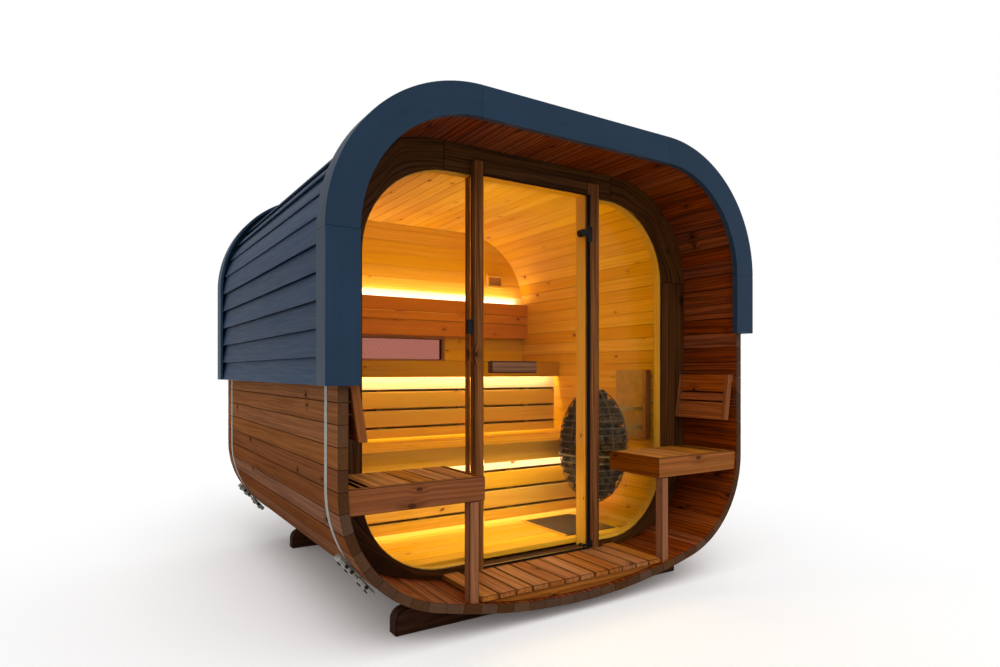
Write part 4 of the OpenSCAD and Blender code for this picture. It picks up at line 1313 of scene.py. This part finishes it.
finish_work(work, "porch_seat_boards", [seat_oil, apron_oil, shade_oil], ["porch_seats", "seat_legs"])

# %% Lean the backs
lean_low, lean_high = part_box("porch_backrests")
tall = lean_high.z - lean_low.z
slab_t, cheek_d, cheek_t, cheek_lap = 0.020, 0.038, 0.022, 0.004
low_x, top_x = 1.020, 1.058


def leaning(way):
    def lean(point):
        rise = (point.z - lean_low.z) / tall
        return Vector((way * (point.x + low_x + (top_x - low_x) * rise), point.y, point.z))
    return lean


work = start_work()
slab_y0, slab_y1 = lean_low.y + cheek_t - cheek_lap, lean_high.y - cheek_t + cheek_lap
for way in both_ways:
    side = leaning(way)
    for start, end in ((0.0, 0.385), (0.415, 0.585), (0.615, 1.0)):
        z0, z1 = lean_low.z + tall * start, lean_low.z + tall * end
        lay_board(work, (0.002, slab_y0, z0), (slab_t, slab_y1, z1), 1, turn=side)
    for y in (lean_low.y, lean_high.y - cheek_t):
        lay_board(work, (0.0, y, lean_low.z), (cheek_d, y + cheek_t, lean_high.z), 2, 0.002, 1, side)
        lay_board(work, (slab_t, y + 0.001, lean_high.z - 0.045), (0.048, y + cheek_t - 0.001, lean_high.z - 0.002), 0,
                  0.002, 1, side)
finish_work(work, "porch_backs", [back_oil, apron_oil], ["porch_backrests"])

# %% [markdown]
# ## Hoops and tighteners
# Two bands of galvanised steel squeeze the staves together, as on a wine barrel. Each is drawn tight at its lower left
# corner by two lugs and a threaded rod. The band is the same kind of swept strip as the blue rim, only flat and all
# the way round. The lugs are eased blocks on a strap, with hexagonal nuts and bolt heads.

# %% Fit the hoops
hoop_low, hoop_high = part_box("hoops")
hoop_w, band_in, band_out = 0.032, 0.0004, 0.0023
hoops_y = (hoop_low.y, hoop_high.y - hoop_w)
work = start_work()
for y in hoops_y:
    section = [(y, band_in), (y + hoop_w, band_in), (y + hoop_w, band_out), (y, band_out)]
    sweep_strip(work, 0.0005, all_round - 0.0005, section, 0.03, 0.0003)
finish_work(work, "hoop_bands", [zinc], ["hoops"])


# %% Draw the hoops tight
def lay_turned(work, centre, axis, radius, height, sides, finish, fitting, ease=0.0012):
    """A bolt head, nut or rod: a prism with eased rims, along an axis of the tightener that fitting puts in place."""
    spin = Vector(axis).to_track_quat("Z", "Y").to_matrix().to_4x4()
    rings = []
    for lift, shrink in ((0, ease), (ease, 0), (height - ease, 0), (height, ease)):
        ring = []
        for k in range(sides):
            a = 2 * math.pi * (k + 0.5) / sides
            spot = spin @ Vector(((radius - shrink) * math.cos(a), (radius - shrink) * math.sin(a), lift))
            ring.append(work.verts.new(fitting @ (Vector(centre) + spot)))
        rings.append(ring)
    join_rings(work, rings, end=finish)


strap_half, strap_t, lug_gap, lug_t, lug_half = 0.110, 0.004, 0.012, 0.022, 0.022
lock_turn = math.radians(50)
x, z = round_barrel(all_round - (corner_start + lower_r * (lock_turn - belly_turn)), 0.0026)
work = start_work()
for y in hoops_y:
    fitting = Matrix.Translation((x, y + hoop_w / 2, z)) @ Matrix.Rotation(lock_turn - math.pi, 4, "Y")
    strap_y, lug_y = lug_half - 0.004, lug_half + 0.003
    lay_board(work, (-strap_half, -strap_y, 0), (strap_half, strap_y, strap_t), 0, 0.001, 0, fitting)
    for start, end in ((-strap_half, -lug_gap), (lug_gap, strap_half)):
        lay_board(work, (start, -lug_y, strap_t), (end, lug_y, lug_t), 0, 0.006, 0, fitting)
    lay_turned(work, (-0.034, 0, 0.011), (1, 0, 0), 0.0048, 0.068, 12, 0, fitting, 0.0005)
    for spot in (-0.084, -0.040, 0.040, 0.084):
        lay_turned(work, (spot, 0, lug_t - 0.0005), (0, 0, 1), 0.0105, 0.0055, 6, 1, fitting)
    for spot in (-0.062, 0.03, 0.062):
        lay_turned(work, (spot, -lug_half - 0.0025, 0.012), (0, -1, 0), 0.0085, 0.0016, 12, 1, fitting, 0.0003)
finish_work(work, "hoop_tighteners", [zinc, black_steel], ["hoop_locks"])

# %% [markdown]
# ## Cradles
# The barrel rests in two beams cut to its belly. They are plain stained timber with rounded ends, and mostly in shade.

# %% Set the cradles
soften("cradles", "cradle_beams", cradle_stain, 0.004, 0)
